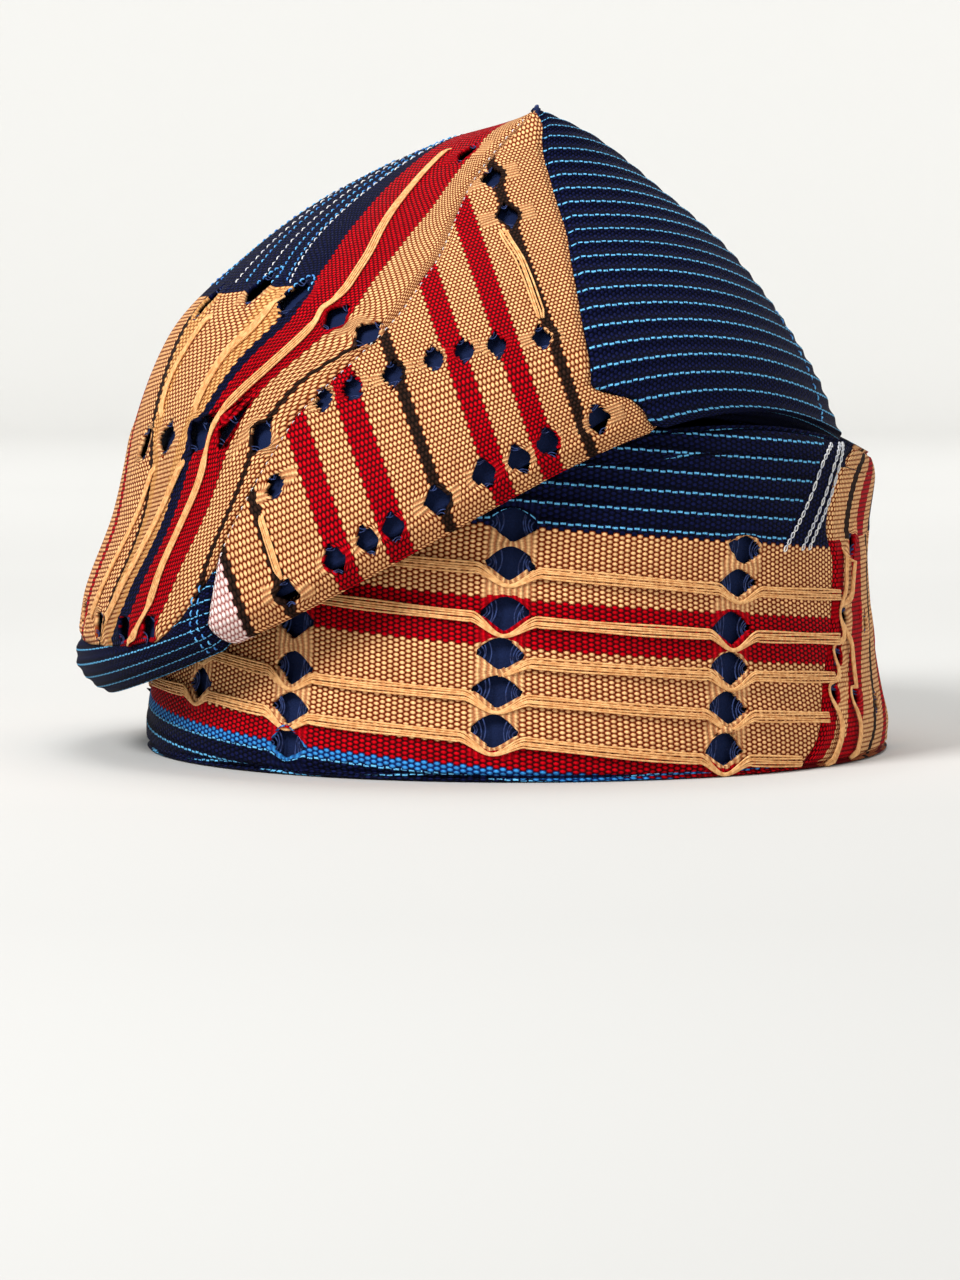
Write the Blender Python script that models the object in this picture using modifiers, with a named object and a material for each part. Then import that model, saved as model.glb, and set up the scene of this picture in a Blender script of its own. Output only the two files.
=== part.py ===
"""A fila: a soft cap of hand-woven strip cloth with openwork.

The cap stands on its rim, +Z up, with its front towards -Y. The origin is the centre of the head
opening, in the plane of the rim. A band goes round the head, and a crown bag rises out of it and
folds over to the wearer's right, on -X, in a lobe that hangs low over the band. Every wall is a
surface lofted through flat-topped ovals, the sections below, cut into panels along the seams.
"""

import math

import bmesh
import bpy
import numpy as np
from mathutils.geometry import delaunay_2d_cdt

MM = 0.001

CLOTH = 1.4  # wall of the striped cloth, mm
LINING = 1.0  # wall of the lining
LINING_SPACE = 0.6  # between the cloth and the lining of the band
CROWN_LINING_SPACE = 1.5  # the same in the crown, whose folded edge is tighter
SEAM_GAP = 1.15  # between two panels at a seam
WIDEST_SEAM_TURN = 13.5  # degrees that a seam may take where the sections shrink to a line
STEP = 1e-3  # step of the finite differences, in rows and in degrees

# Sections, in mm. Each is an oval from x = left to x = right that reaches half_depth to the front
# and back. Its height is given in five directions, and the back half repeats the front one, less
# back_drop at the very back. A row's number is its place in the list, counted from 0.
SECTION_COLUMNS = (
    "left", "right", "half_depth",
    "z_right", "z_front_right", "z_front", "z_front_left", "z_left", "back_drop",
)
BAND_SECTIONS = {
    "rim":   (-85.0, 85.0, 104.0, 0.0, 0.0, 0.0, 0.0, 0.0, 0),
    "hem":   (-85.0, 85.0, 104.0, 6.0, 6.0, 6.0, 6.0, 6.0, 0),
    "lower": (-82.3, 82.0, 102.3, 24.0, 24.0, 24.0, 24.0, 24.0, 0),
    "waist": (-80.8, 80.3, 101.0, 46.0, 46.0, 46.0, 46.0, 46.0, 0),
    "top":   (-79.5, 82.0, 100.5, 62.0, 70.0, 68.5, 66.0, 61.0, 0),
    "lip":   (-79.5, 80.5, 99.5, 68.0, 75.5, 73.0, 70.5, 65.5, 0),
}
CROWN_SECTIONS = {
    "mouth":    (-80.0, 76.0, 99.6, 60.0, 77.6, 74.0, 71.5, 66.4, 0),
    "under":    (-86.0, 75.2, 104.0, 66.0, 79.0, 68.0, 50.0, 44.0, 0),
    "edge_in":  (-88.5, 74.8, 106.0, 69.5, 79.6, 62.0, 33.0, 22.0, 0),
    "edge":     (-93.5, 74.5, 110.5, 71.0, 79.8, 57.0, 25.0, 13.0, 0),
    "edge_out": (-101.0, 73.8, 114.5, 72.5, 80.8, 61.0, 30.5, 20.5, 0),
    "hip":      (-99.5, 72.3, 114.5, 76.0, 84.0, 69.0, 43.0, 34.0, 0),
    "flank":    (-92.5, 69.3, 112.0, 83.5, 91.0, 81.0, 62.5, 54.0, 0),
    "cheek":    (-88.0, 64.5, 107.0, 92.0, 99.5, 94.0, 82.0, 73.0, 0),
    "brow":     (-79.5, 57.5, 98.0, 103.0, 110.0, 107.0, 99.0, 95.0, 1),
    "upper":    (-62.0, 47.5, 87.0, 116.0, 120.5, 118.5, 114.0, 114.0, 3),
    "summit":   (-38.0, 34.0, 76.0, 128.5, 131.5, 131.0, 128.5, 131.5, 5),
    "ridge":    (-13.0, 20.0, 67.0, 139.5, 141.0, 141.3, 141.3, 142.6, 7),
    "crest":    (2.0, 6.0, 60.0, 145.8, 145.8, 145.4, 145.4, 145.8, 9),
}

# Seams of the crown: the row, and the direction in degrees. 0 is the wearer's left, +X, and 90 is
# the front. The left seam ends at the gusset's point, below which the gusset meets the front gore.
NAVY_SEAM = {
    "row":       (2.0, 4.0, 4.95, 5.75, 7.4, 8.6, 9.75, 11.0, 12.0),
    "direction": (63.2, 61.8, 63.5, 70.5, 70.5, 71.0, 75.0, 83.5, 85.5),
}
LEFT_SEAM = {
    "row":       (2.0, 3.0, 4.0, 5.1, 5.85, 6.5, 6.9, 7.4, 7.9, 8.75, 10.05, 11.0, 12.0),
    "direction": (119.0, 120.5, 122.5, 125.0, 124.4, 118.5, 112.0, 105.0, 101.0, 98.5, 103.0, 104.5, 106.0),
}
GUSSET_TOP = {
    "direction": (119.0, 125.0, 132.0, 139.0, 160.0, 180.0, 205.0, 270.0),
    "row":       (5.1, 5.1, 4.5, 4.05, 4.3, 4.45, 4.2, 4.1),
}
LINING_FOOT = {
    "direction": (-90.0, -78.0, -60.0, 60.0, 78.0, 90.0, 270.0),
    "row":       (4.0, 4.2, 5.2, 5.2, 4.2, 4.0, 4.0),
}
UNDERFOLD_TOP = 2.3
CREST = 12.0
BACK = 270.0
BAND_SEAM_FOOT, BAND_SEAM_HEAD = 40.0, 30.0  # the band's slanted seam, direction at rim and at lip
BAND_SEAM_LEFT = 196.0

# Lines of holes: the first and last hole by direction and by level, how many, and their size in mm.
# A level is the height over the rim in the band, and the row in the crown.
HOLE_COLUMNS = (
    "panel", "first_direction", "first_level", "last_direction", "last_level", "count", "across", "high",
)
BAND_HOLES = [
    ("band_front", 57.8, 6.2, 52.0, 49.6, 6, 7.4, 6.6),
    ("band_front", 93.8, 10.9, 91.2, 55.3, 6, 7.6, 6.8),
    ("band_front", 126.5, 6.6, 126.5, 42.8, 5, 7.4, 6.6),
    ("band_front", 148.0, 18.1, 147.0, 45.4, 4, 6.8, 6.4),
    ("band_front", 180.0, 9.0, 180.0, 45.4, 5, 6.8, 6.4),
    ("band_side", 27.6, 11.0, -4.0, 6.9, 4, 5.4, 5.6),
    ("band_side", 26.5, 28.0, -6.0, 25.8, 4, 5.4, 5.6),
    ("band_side", 21.5, 47.8, -6.0, 45.5, 3, 5.4, 5.6),
    ("band_side", -50.0, 9.0, -50.0, 54.0, 6, 7.4, 6.6),
    ("band_side", -90.0, 9.0, -90.0, 54.0, 6, 7.4, 6.6),
    ("band_side", -130.0, 9.0, -130.0, 54.0, 6, 7.4, 6.6),
]

CROWN_HOLES = [
    ("crown_front", 69.5, 5.05, 81.2, 4.95, 3, 5.4, 5.8),
    ("crown_front", 87.5, 4.9, 102.5, 4.55, 4, 5.6, 6.0),
    ("crown_front", 108.0, 4.45, 114.4, 4.25, 2, 5.6, 6.0),
    ("crown_front", 77.5, 6.82, 94.8, 6.8, 4, 4.6, 4.2),
    ("crown_front", 103.0, 6.8, 109.0, 6.5, 2, 4.4, 4.0),
    ("crown_front", 86.0, 9.2, 95.0, 9.9, 2, 4.2, 4.6),
    ("crown_front", 118.0, 6.1, 119.5, 5.6, 1, 4.4, 5.2),
    ("crown_left", 109.5, 7.65, 126.0, 8.25, 3, 6.8, 6.4),
    ("crown_left", 143.0, 8.45, 167.4, 8.7, 2, 6.0, 5.6),
    ("crown_left", 130.6, 6.5, 165.0, 6.8, 5, 5.0, 5.6),
    ("crown_left", 138.5, 4.9, 165.0, 5.1, 4, 5.2, 5.2),
    ("crown_left", 178.0, 6.8, 255.0, 6.8, 8, 5.4, 5.6),
    ("crown_left", 185.0, 5.1, 250.0, 4.9, 6, 5.2, 5.2),
    ("crown_left", 195.0, 8.7, 250.0, 8.5, 4, 6.0, 5.6),
]
HOLE_SIDES = 6
CLOTH_PER_DEGREE = 1.5  # mm of cloth for one degree of turn, when a panel is laid flat
HOLE_MARGIN = 3.4  # cloth round a hole that the plain grid of points stays out of, mm

# The rows that each panel has points on. Between other bounds they keep their spacing.
BAND_ROWS = (0.0, 1.0, 1.5, 2.0, 2.5, 3.0, 3.5, 4.0, 5.0)
CROWN_ROWS = (2.3, 2.7, 3.1, 3.5, 4.0, 4.5, 5.1, 5.7, 6.4, 7.1, 7.8, 8.5, 9.2, 9.9, 10.6, 11.3, 12.0)
FRONT_ROWS = CROWN_ROWS[:-1] + (11.7,)
LEFT_ROWS = CROWN_ROWS[6:]
GUSSET_ROWS = (2.3, 2.7, 3.1, 3.6, 4.1, 5.1)
UNDERFOLD_ROWS = (0.0, 0.8, 1.6, 2.3)
LINING_BAND_ROWS = (0.5, 1.0, 2.0, 3.0, 4.0, 4.7)
LINING_CROWN_ROWS = (4.1, 4.5, 5.1, 6.0, 7.0, 8.1, 9.2, 10.2, 11.3)
TURN = 8.0  # degrees between two columns of points in the band
LINING_STEPS = 48  # columns all the way round

STRIPED = (0.83, 0.52, 0.22, 1.0)
NAVY = (0.012, 0.022, 0.075, 1.0)
LINING_NAVY = (0.008, 0.015, 0.05, 1.0)


def through(knots, values, at):
    """A smooth curve through the values that never overshoots them: a cubic between each two knots,
    whose slope at a knot is the harmonic mean of the slopes beside it, or 0 where they turn."""
    knots, values = np.asarray(knots, float), np.asarray(values, float)
    rise = (np.diff(values, axis=0).T / np.diff(knots)).T
    before, after = rise[:-1], rise[1:]
    same_way = before * after > 0
    safe = np.where(same_way, before + after, 1.0)
    inner = np.where(same_way, 2.0 * before * after / safe, 0.0)
    slope = np.concatenate([rise[:1], inner, rise[-1:]])
    at = np.clip(np.asarray(at, float), knots[0], knots[-1])
    k = np.clip(np.searchsorted(knots, at, side="right") - 1, 0, len(knots) - 2)
    width = knots[k + 1] - knots[k]
    t = (at - knots[k]) / width
    if values.ndim > 1:
        t, width = t[..., None], width[..., None]
    return (
        (1.0 + 2.0 * t) * (1.0 - t) ** 2 * values[k]
        + t * (1.0 - t) ** 2 * width * slope[k]
        + t * t * (3.0 - 2.0 * t) * values[k + 1]
        + t * t * (t - 1.0) * width * slope[k + 1]
    )


def surface(sections, direction, row):
    """Points of a lofted wall, in mm. The height between the five directions is a sum of cosines
    that passes through all five."""
    table = through(np.arange(len(sections)), list(sections.values()), row)
    column = {name: table[..., i] for i, name in enumerate(SECTION_COLUMNS)}
    left, right = column["left"], column["right"]
    levels = np.stack([column[name] for name in SECTION_COLUMNS if name.startswith("z_")], axis=-1)
    turn = np.radians(direction)
    waves = np.arange(5)
    mirrored = np.arccos(np.clip(np.cos(turn), -1.0, 1.0))
    fit = np.linalg.inv(np.cos(np.outer(np.radians([0, 45, 90, 135, 180]), waves)))
    height = np.sum(np.cos(mirrored[..., None] * waves) * (levels @ fit.T), axis=-1)
    x = (left + right) / 2 + (right - left) / 2 * np.cos(turn)
    y = -column["half_depth"] * np.sin(turn)
    z = height - column["back_drop"] * (1.0 - np.sin(turn)) / 2
    return np.stack([x, y, z], axis=-1)


def tangents(sections, direction, row):
    """How the surface moves for one degree and for one row."""
    low = np.clip(row - STEP, 0, len(sections) - 1 - 2 * STEP)
    high = low + 2 * STEP
    by_turn = surface(sections, direction + STEP, row) - surface(sections, direction - STEP, row)
    by_row = surface(sections, direction, high) - surface(sections, direction, low)
    return by_turn / (2 * STEP), by_row / (2 * STEP)


def inwards(sections, direction, row):
    """The unit normal that points into the cap's wall."""
    by_turn, by_row = tangents(sections, direction, row)
    normal = np.cross(by_turn, by_row)
    return normal / np.linalg.norm(normal, axis=-1, keepdims=True)


def cloth_heights(sections):
    """The length of cloth from row 0 up to each row, as a mean over all directions."""
    rows = np.linspace(0, len(sections) - 1, 40 * (len(sections) - 1) + 1)
    directions = np.arange(0.0, 360.0, 15.0)
    points = surface(sections, directions[None, :], rows[:, None] + 0 * directions[None, :])
    lengths = np.linalg.norm(np.diff(points, axis=0), axis=-1).mean(axis=1)
    return rows, np.concatenate([[0.0], np.cumsum(lengths)])


def row_at_height(sections, direction, height):
    """The row at which the wall reaches a height over the rim."""
    rows = np.linspace(0, len(sections) - 1, 500)
    heights = surface(sections, np.full_like(rows, direction), rows)[:, 2]
    return float(np.interp(height, heights, rows))


def hole_outline(sections, direction, row, across, high):
    """A hexagon on the surface, with a corner at each side."""
    by_turn, by_row = (t[0] for t in tangents(sections, np.array([direction]), np.array([row])))
    sideways = by_turn / np.linalg.norm(by_turn)
    up = by_row - sideways * (by_row @ sideways)
    up /= np.linalg.norm(up)
    angles = np.arange(HOLE_SIDES) * 2 * math.pi / HOLE_SIDES
    offsets = np.outer(np.cos(angles), sideways) * across / 2 + np.outer(np.sin(angles), up) * high / 2
    step = offsets @ np.linalg.pinv(np.stack([by_turn, by_row]))
    return np.array([direction, row]) + step


def holes_of(panel, sections):
    """Each hole of a panel as its direction, row, width and height."""
    found = []
    in_band = sections is BAND_SECTIONS
    lines = [dict(zip(HOLE_COLUMNS, line)) for line in (BAND_HOLES if in_band else CROWN_HOLES)]
    for line in (line for line in lines if line["panel"] == panel):
        directions = np.linspace(line["first_direction"], line["last_direction"], line["count"])
        levels = np.linspace(line["first_level"], line["last_level"], line["count"])
        for direction, row in zip(directions, levels):
            if in_band:
                row = row_at_height(sections, direction, row)
            found.append((float(direction), float(row), line["across"], line["high"]))
    return found


def grid(lower, upper, start, end, fractions, columns):
    """Directions and rows of a panel's points. lower and upper give the rows that bound it at a
    direction, and start and end the directions that bound it at a row."""
    f = np.asarray(fractions)[:, None] + np.zeros(columns)[None, :]
    g = np.linspace(0, 1, columns)[None, :] + 0 * f
    row = f * 10.0
    for _ in range(12):
        direction = start(row) + (end(row) - start(row)) * g
        row = lower(direction) + (upper(direction) - lower(direction)) * f
    return direction, row


def width_across(step, along):
    """How far a step moves away from a line that runs along a tangent, in mm."""
    return np.linalg.norm(np.cross(step, along), axis=-1) / np.linalg.norm(along, axis=-1)


def seam(table, sections, side):
    """An upright seam as a function of the row, moved half a gap to one side, +1 or -1."""
    def at(row):
        def middle(level):
            return through(table["row"], table["direction"], level)

        direction = middle(row)
        slope = (middle(row + STEP) - middle(row - STEP)) / (2 * STEP)
        by_turn, by_row = tangents(sections, direction, row)
        width = width_across(by_turn, by_row + slope[..., None] * by_turn)
        return direction + side * np.minimum(SEAM_GAP / 2 / width, WIDEST_SEAM_TURN)
    return at


def hem(table, sections, side):
    """A seam that goes round, as a function of the direction, moved half a gap up, +1, or down."""
    def at(direction):
        def middle(turn):
            return through(table["direction"], table["row"], turn)

        row = middle(direction)
        slope = (middle(direction + STEP) - middle(direction - STEP)) / (2 * STEP)
        by_turn, by_row = tangents(sections, direction, row)
        width = width_across(by_row, by_turn + slope[..., None] * by_row)
        return row + side * SEAM_GAP / 2 / width
    return at


def level(row):
    """The same row in every direction."""
    return {"direction": (BACK - 360, BACK), "row": (row, row)}


def upright(direction, sections):
    """The same direction in every row."""
    return {"row": (0.0, len(sections) - 1.0), "direction": (direction, direction)}


def triangulate(sections, direction, row, holes):
    """The panel's flat cloth as triangles: its outline and holes are kept as edges."""
    rows, heights = cloth_heights(sections)
    tall, wide = direction.shape
    index = np.arange(tall * wide).reshape(tall, wide)
    rim = np.concatenate([index[0], index[1:, -1], index[-1, -2::-1], index[-2:0:-1, 0]])
    points = np.stack([direction.ravel(), row.ravel()], axis=1)
    places = surface(sections, points[:, 0], points[:, 1])
    keep = np.ones(len(points), bool)
    for turn, level_row, across, high in holes:
        centre = surface(sections, np.array([turn]), np.array([level_row]))
        keep &= np.linalg.norm(places - centre, axis=1) > max(across, high) / 2 + HOLE_MARGIN
    keep[rim] = True
    renumber = np.cumsum(keep) - 1
    loops = [renumber[rim]]
    stacked = [points[keep]]
    size = int(keep.sum())
    for hole in holes:
        outline = hole_outline(sections, *hole)
        loops.append(np.arange(size, size + HOLE_SIDES))
        stacked.append(outline)
        size += HOLE_SIDES
    points = np.concatenate(stacked)
    flat = np.stack([points[:, 0] * CLOTH_PER_DEGREE, np.interp(points[:, 1], rows, heights)], axis=1)
    edges = [(int(a), int(b)) for loop in loops for a, b in zip(loop, np.roll(loop, -1))]
    _, _, faces, origins, _, _ = delaunay_2d_cdt([tuple(p) for p in flat], edges, [], 1, 1e-5)
    owner = np.full(len(points), -1)
    for number, loop in enumerate(loops[1:]):
        owner[loop] = number
    triangles = []
    for face in faces:
        corners = [origins[corner][0] for corner in face]
        inside_hole = owner[corners[0]] >= 0 and len({owner[c] for c in corners}) == 1
        if not inside_hole:
            triangles.append(corners[::-1])
    return points, triangles


def plain_material(name, colour, roughness):
    material = bpy.data.materials.new(name)
    material.use_nodes = True
    shader = material.node_tree.nodes["Principled BSDF"]
    shader.inputs["Base Color"].default_value = colour
    shader.inputs["Roughness"].default_value = roughness
    shader.inputs["Metallic"].default_value = 0.0
    return material


def cloth_object(name, collection, sections, direction, row, holes, depth, wall, colour):
    """One panel: its outer surface, depth mm inside the lofted one, and Solidify for its wall."""
    points, triangles = triangulate(sections, direction, row, holes)
    places = surface(sections, points[:, 0], points[:, 1])
    if depth:
        places = places + depth * inwards(sections, points[:, 0], points[:, 1])
    mesh = bpy.data.meshes.new(name)
    mesh.from_pydata([tuple(p) for p in places * MM], [], triangles)
    mesh.update()
    body = bmesh.new()
    body.from_mesh(mesh)
    loose = [vertex for vertex in body.verts if not vertex.link_faces]
    bmesh.ops.delete(body, geom=loose, context="VERTS")
    body.to_mesh(mesh)
    body.free()
    mesh.shade_smooth()
    mesh.set_sharp_from_angle(angle=math.radians(35))
    mesh.materials.append(plain_material(name, colour, 0.85))
    thing = bpy.data.objects.new(name, mesh)
    collection.objects.link(thing)
    solidify = thing.modifiers.new("cloth", "SOLIDIFY")
    solidify.thickness = wall * MM
    solidify.offset = -1.0
    return thing


def fractions_of(rows):
    """Rows as shares of the way from the first to the last."""
    return (np.array(rows) - rows[0]) / (rows[-1] - rows[0])


def make_band(collection):
    lip = len(BAND_SECTIONS) - 1.0
    slanted = {"row": (0.0, lip), "direction": (BAND_SEAM_FOOT, BAND_SEAM_HEAD)}
    left = upright(BAND_SEAM_LEFT, BAND_SECTIONS)
    left_before = upright(BAND_SEAM_LEFT - 360, BAND_SECTIONS)
    for name, first, last in (("band_front", slanted, left), ("band_side", left_before, slanted)):
        direction, row = grid(
            hem(level(0.0), BAND_SECTIONS, 0), hem(level(lip), BAND_SECTIONS, 0),
            seam(first, BAND_SECTIONS, 1), seam(last, BAND_SECTIONS, -1),
            fractions_of(BAND_ROWS), 1 + round((last["direction"][0] - first["direction"][0]) / TURN),
        )
        holes = holes_of(name, BAND_SECTIONS)
        cloth_object(name, collection, BAND_SECTIONS, direction, row, holes, 0, CLOTH, STRIPED)


def make_crown(collection):
    fold, crest = level(UNDERFOLD_TOP), level(CREST)
    back, back_before = upright(BACK, CROWN_SECTIONS), upright(BACK - 360, CROWN_SECTIONS)
    panels = (
        ("crown_right", fold, crest, back_before, NAVY_SEAM, CROWN_ROWS, 20, NAVY),
        ("crown_front", fold, level(FRONT_ROWS[-1]), NAVY_SEAM, LEFT_SEAM, FRONT_ROWS, 8, STRIPED),
        ("crown_left", GUSSET_TOP, crest, LEFT_SEAM, back, LEFT_ROWS, 20, STRIPED),
        ("crown_gusset", fold, GUSSET_TOP, LEFT_SEAM, back, GUSSET_ROWS, 40, NAVY),
        ("crown_underfold", level(0.0), fold, back_before, back, UNDERFOLD_ROWS, 48, NAVY),
    )
    for name, lower, upper, first, last, rows, steps, colour in panels:
        direction, row = grid(
            hem(lower, CROWN_SECTIONS, 0 if lower["row"][0] == 0 else 1),
            hem(upper, CROWN_SECTIONS, 0 if upper is crest else -1),
            seam(first, CROWN_SECTIONS, 1), seam(last, CROWN_SECTIONS, -1),
            fractions_of(rows), steps + 1,
        )
        holes = holes_of(name, CROWN_SECTIONS)
        cloth_object(name, collection, CROWN_SECTIONS, direction, row, holes, 0, CLOTH, colour)


def make_linings(collection):
    linings = (
        ("lining_band", BAND_SECTIONS, level(0.5), level(4.7), LINING_BAND_ROWS, LINING_SPACE),
        ("lining_crown", CROWN_SECTIONS, LINING_FOOT, level(11.3), LINING_CROWN_ROWS, CROWN_LINING_SPACE),
    )
    for name, sections, lower, upper, rows, space in linings:
        direction, row = grid(
            hem(lower, sections, 0), hem(upper, sections, 0),
            seam(upright(BACK - 360, sections), sections, 1), seam(upright(BACK, sections), sections, -1),
            fractions_of(rows), 1 + LINING_STEPS,
        )
        cloth_object(name, collection, sections, direction, row, [], CLOTH + space, LINING, LINING_NAVY)


def main():
    for thing in list(bpy.data.objects):
        bpy.data.objects.remove(thing, do_unlink=True)
    collection = bpy.data.collections.new("fila_cap")
    bpy.context.scene.collection.children.link(collection)
    make_band(collection)
    make_crown(collection)
    make_linings(collection)


main()
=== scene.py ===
# %% [markdown]
# # A fila cap of hand-woven strip cloth
#
# A fila is a soft cap sewn from narrow strips of striped cloth. A stiff band goes round the head,
# and a taller crown rises out of it and is folded over to one side. The cloth has openwork: rows of
# small holes, where the threads are tied into bundles, and loose threads that float over the weave.
# This lesson loads the plain solids of the cap as a frame, and dresses each with a finely woven piece.

# %% Load the frame
import math

import bpy
import numpy as np
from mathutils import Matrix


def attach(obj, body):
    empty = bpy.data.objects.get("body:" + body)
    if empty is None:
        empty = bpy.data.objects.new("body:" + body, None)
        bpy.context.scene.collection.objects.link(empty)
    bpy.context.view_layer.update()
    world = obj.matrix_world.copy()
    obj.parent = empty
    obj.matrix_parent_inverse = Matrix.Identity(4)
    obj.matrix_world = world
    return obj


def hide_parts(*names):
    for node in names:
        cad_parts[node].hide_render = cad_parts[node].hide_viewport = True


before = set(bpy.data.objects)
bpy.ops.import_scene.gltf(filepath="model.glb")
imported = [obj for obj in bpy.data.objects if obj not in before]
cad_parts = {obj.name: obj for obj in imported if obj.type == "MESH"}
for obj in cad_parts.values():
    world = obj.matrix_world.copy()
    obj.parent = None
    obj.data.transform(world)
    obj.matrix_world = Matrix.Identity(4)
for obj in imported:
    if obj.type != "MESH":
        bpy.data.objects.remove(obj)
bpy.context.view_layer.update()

MM = 0.001
print("nodes to dress:", sorted(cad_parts))

# %% [markdown]
# ## The camera
#
# The cap is seen from the front and a little above the rim, with a long lens that hardly bends it.
# A long lens could also be faked with an orthographic camera, but the lobe of the crown leans
# towards the viewer and is a little larger for it, so a real lens far away keeps the proportions.

# %% Camera
DISTANCE = 1500.0
ELEVATION = math.radians(3.6)
TARGET = np.array([-8.5, 0.0, 24.2])
VIEW_HEIGHT = 294.4  # what the picture shows from top to bottom at the target, mm
forward = np.array([0.0, math.cos(ELEVATION), -math.sin(ELEVATION)])
lens = bpy.data.cameras.new("long_lens")
lens.sensor_fit = "VERTICAL"
lens.sensor_height = 36.0
lens.lens = 36.0 * DISTANCE / VIEW_HEIGHT
lens.clip_start, lens.clip_end = 0.05, 20.0
camera = bpy.data.objects.new("camera", lens)
bpy.context.scene.collection.objects.link(camera)
camera.location = tuple((TARGET - forward * DISTANCE) * MM)
camera.rotation_euler = (math.pi / 2 - ELEVATION, 0.0, 0.0)
bpy.context.scene.camera = camera
print("lens", round(lens.lens, 1), "mm")

# %% [markdown]
# ## Floor and light
#
# The cap stands on a pale sweep of paper: a floor that curves up behind it, so there is no corner.
# The light is a soft lamp at the front left, a weaker and larger one at the right and one overhead,
# in an even room. Two more lamps aim at the wall of paper behind. Lit so, a plain paper would look
# brighter near the lamps, so its tone is graded from front to back and the background looks even.
# Weave shows best when the light comes a little from the side.

# %% Sweep of paper and soft lamps
def sweep_profile(depth, height, bend, steps):
    """Points (y, z) of a floor that runs back, turns up in a quarter circle of radius bend, and rises."""
    turn = np.linspace(0.0, math.pi / 2, steps)
    curve_y = depth + bend * np.sin(turn)
    curve_z = bend * (1.0 - np.cos(turn))
    y = np.concatenate([[-PAPER_EDGE], curve_y, [depth + bend]])
    z = np.concatenate([[0.0], curve_z, [height]])
    return y, z


def grid_faces(tall, wide, wrap=False):
    """Corner numbers of the quads of a grid of tall rows and wide columns, closed sideways if wrap."""
    rows, columns = np.meshgrid(np.arange(tall - 1), np.arange(wide if wrap else wide - 1), indexing="ij")
    after = (columns + 1) % wide
    below, above = rows * wide, (rows + 1) * wide
    return np.stack([below + columns, below + after, above + after, above + columns], axis=-1).reshape(-1, 4)


def mesh_object(name, points, faces):
    """An object at the origin with the points in millimetres in its mesh."""
    mesh = bpy.data.meshes.new(name)
    mesh.vertices.add(len(points))
    mesh.vertices.foreach_set("co", (np.asarray(points, float) * MM).ravel())
    mesh.loops.add(faces.size)
    mesh.loops.foreach_set("vertex_index", faces.ravel().astype(np.int32))
    mesh.polygons.add(len(faces))
    mesh.polygons.foreach_set("loop_start", np.arange(0, faces.size, faces.shape[1], dtype=np.int32))
    mesh.update(calc_edges=True)
    mesh.polygons.foreach_set("use_smooth", np.ones(len(faces), bool))
    thing = bpy.data.objects.new(name, mesh)
    bpy.context.scene.collection.objects.link(thing)
    return thing


PAPER_EDGE = 2.5  # how far the paper reaches forwards and to each side, m
PAPER_SPAN = (-0.8, 3.2)  # where the grading starts and ends, m behind the cap
PAPER_TONES = (  # place as a share of that span, and the paper's tone there
    (0.0, 0.485), (0.11, 0.505), (0.165, 0.56), (0.2, 0.63),
    (0.3, 0.72), (0.4, 0.77), (0.575, 0.71), (0.84, 0.80),
)


def paper_material():
    """Matt graded paper: a little darker towards the lamps, so that it looks even all over."""
    material = bpy.data.materials.new("paper")
    material.use_nodes = True
    nodes, links = material.node_tree.nodes, material.node_tree.links
    place = nodes.new("ShaderNodeTexCoord")
    noise = nodes.new("ShaderNodeTexNoise")
    noise.inputs["Scale"].default_value = 1.5
    parts = nodes.new("ShaderNodeSeparateXYZ")
    depth = nodes.new("ShaderNodeMapRange")
    depth.inputs["From Min"].default_value, depth.inputs["From Max"].default_value = PAPER_SPAN
    drift = nodes.new("ShaderNodeMath")
    drift.operation = "MULTIPLY_ADD"
    drift.inputs[1].default_value = 0.01
    ramp = nodes.new("ShaderNodeValToRGB")
    ramp.color_ramp.elements.remove(ramp.color_ramp.elements[-1])
    for number, (position, tone) in enumerate(PAPER_TONES):
        stop = ramp.color_ramp.elements[0] if number == 0 else ramp.color_ramp.elements.new(position)
        stop.color = (tone, tone * 0.995, tone * 0.965, 1.0)
    shader = nodes["Principled BSDF"]
    shader.inputs["Roughness"].default_value = 0.9
    links.new(place.outputs["Object"], noise.inputs["Vector"])
    links.new(place.outputs["Object"], parts.inputs[0])
    links.new(parts.outputs["Y"], depth.inputs["Value"])
    links.new(noise.outputs["Fac"], drift.inputs[0])
    links.new(depth.outputs["Result"], drift.inputs[2])
    links.new(drift.outputs[0], ramp.inputs["Fac"])
    links.new(ramp.outputs["Color"], shader.inputs["Base Color"])
    return material


profile_y, profile_z = sweep_profile(2.3, 2.8, 0.9, 24)
across = np.linspace(-PAPER_EDGE, PAPER_EDGE, 2)
sweep_points = np.stack([
    np.tile(across, len(profile_y)), np.repeat(profile_y, 2), np.repeat(profile_z, 2)
], axis=1) / MM
sweep = mesh_object("paper_sweep", sweep_points, grid_faces(len(profile_y), 2))
sweep.data.materials.append(paper_material())


def soft_lamp(name, place, size, power, target):
    """A square lamp that faces the target."""
    data = bpy.data.lights.new(name, "AREA")
    data.size, data.energy = size, power
    lamp = bpy.data.objects.new(name, data)
    bpy.context.scene.collection.objects.link(lamp)
    lamp.location = place
    aim = np.array(target) - np.array(place)
    tilt, turn = math.acos(-aim[2] / np.linalg.norm(aim)), math.atan2(aim[1], aim[0]) - math.pi / 2
    lamp.rotation_euler = (tilt, 0.0, turn)
    return lamp


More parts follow.
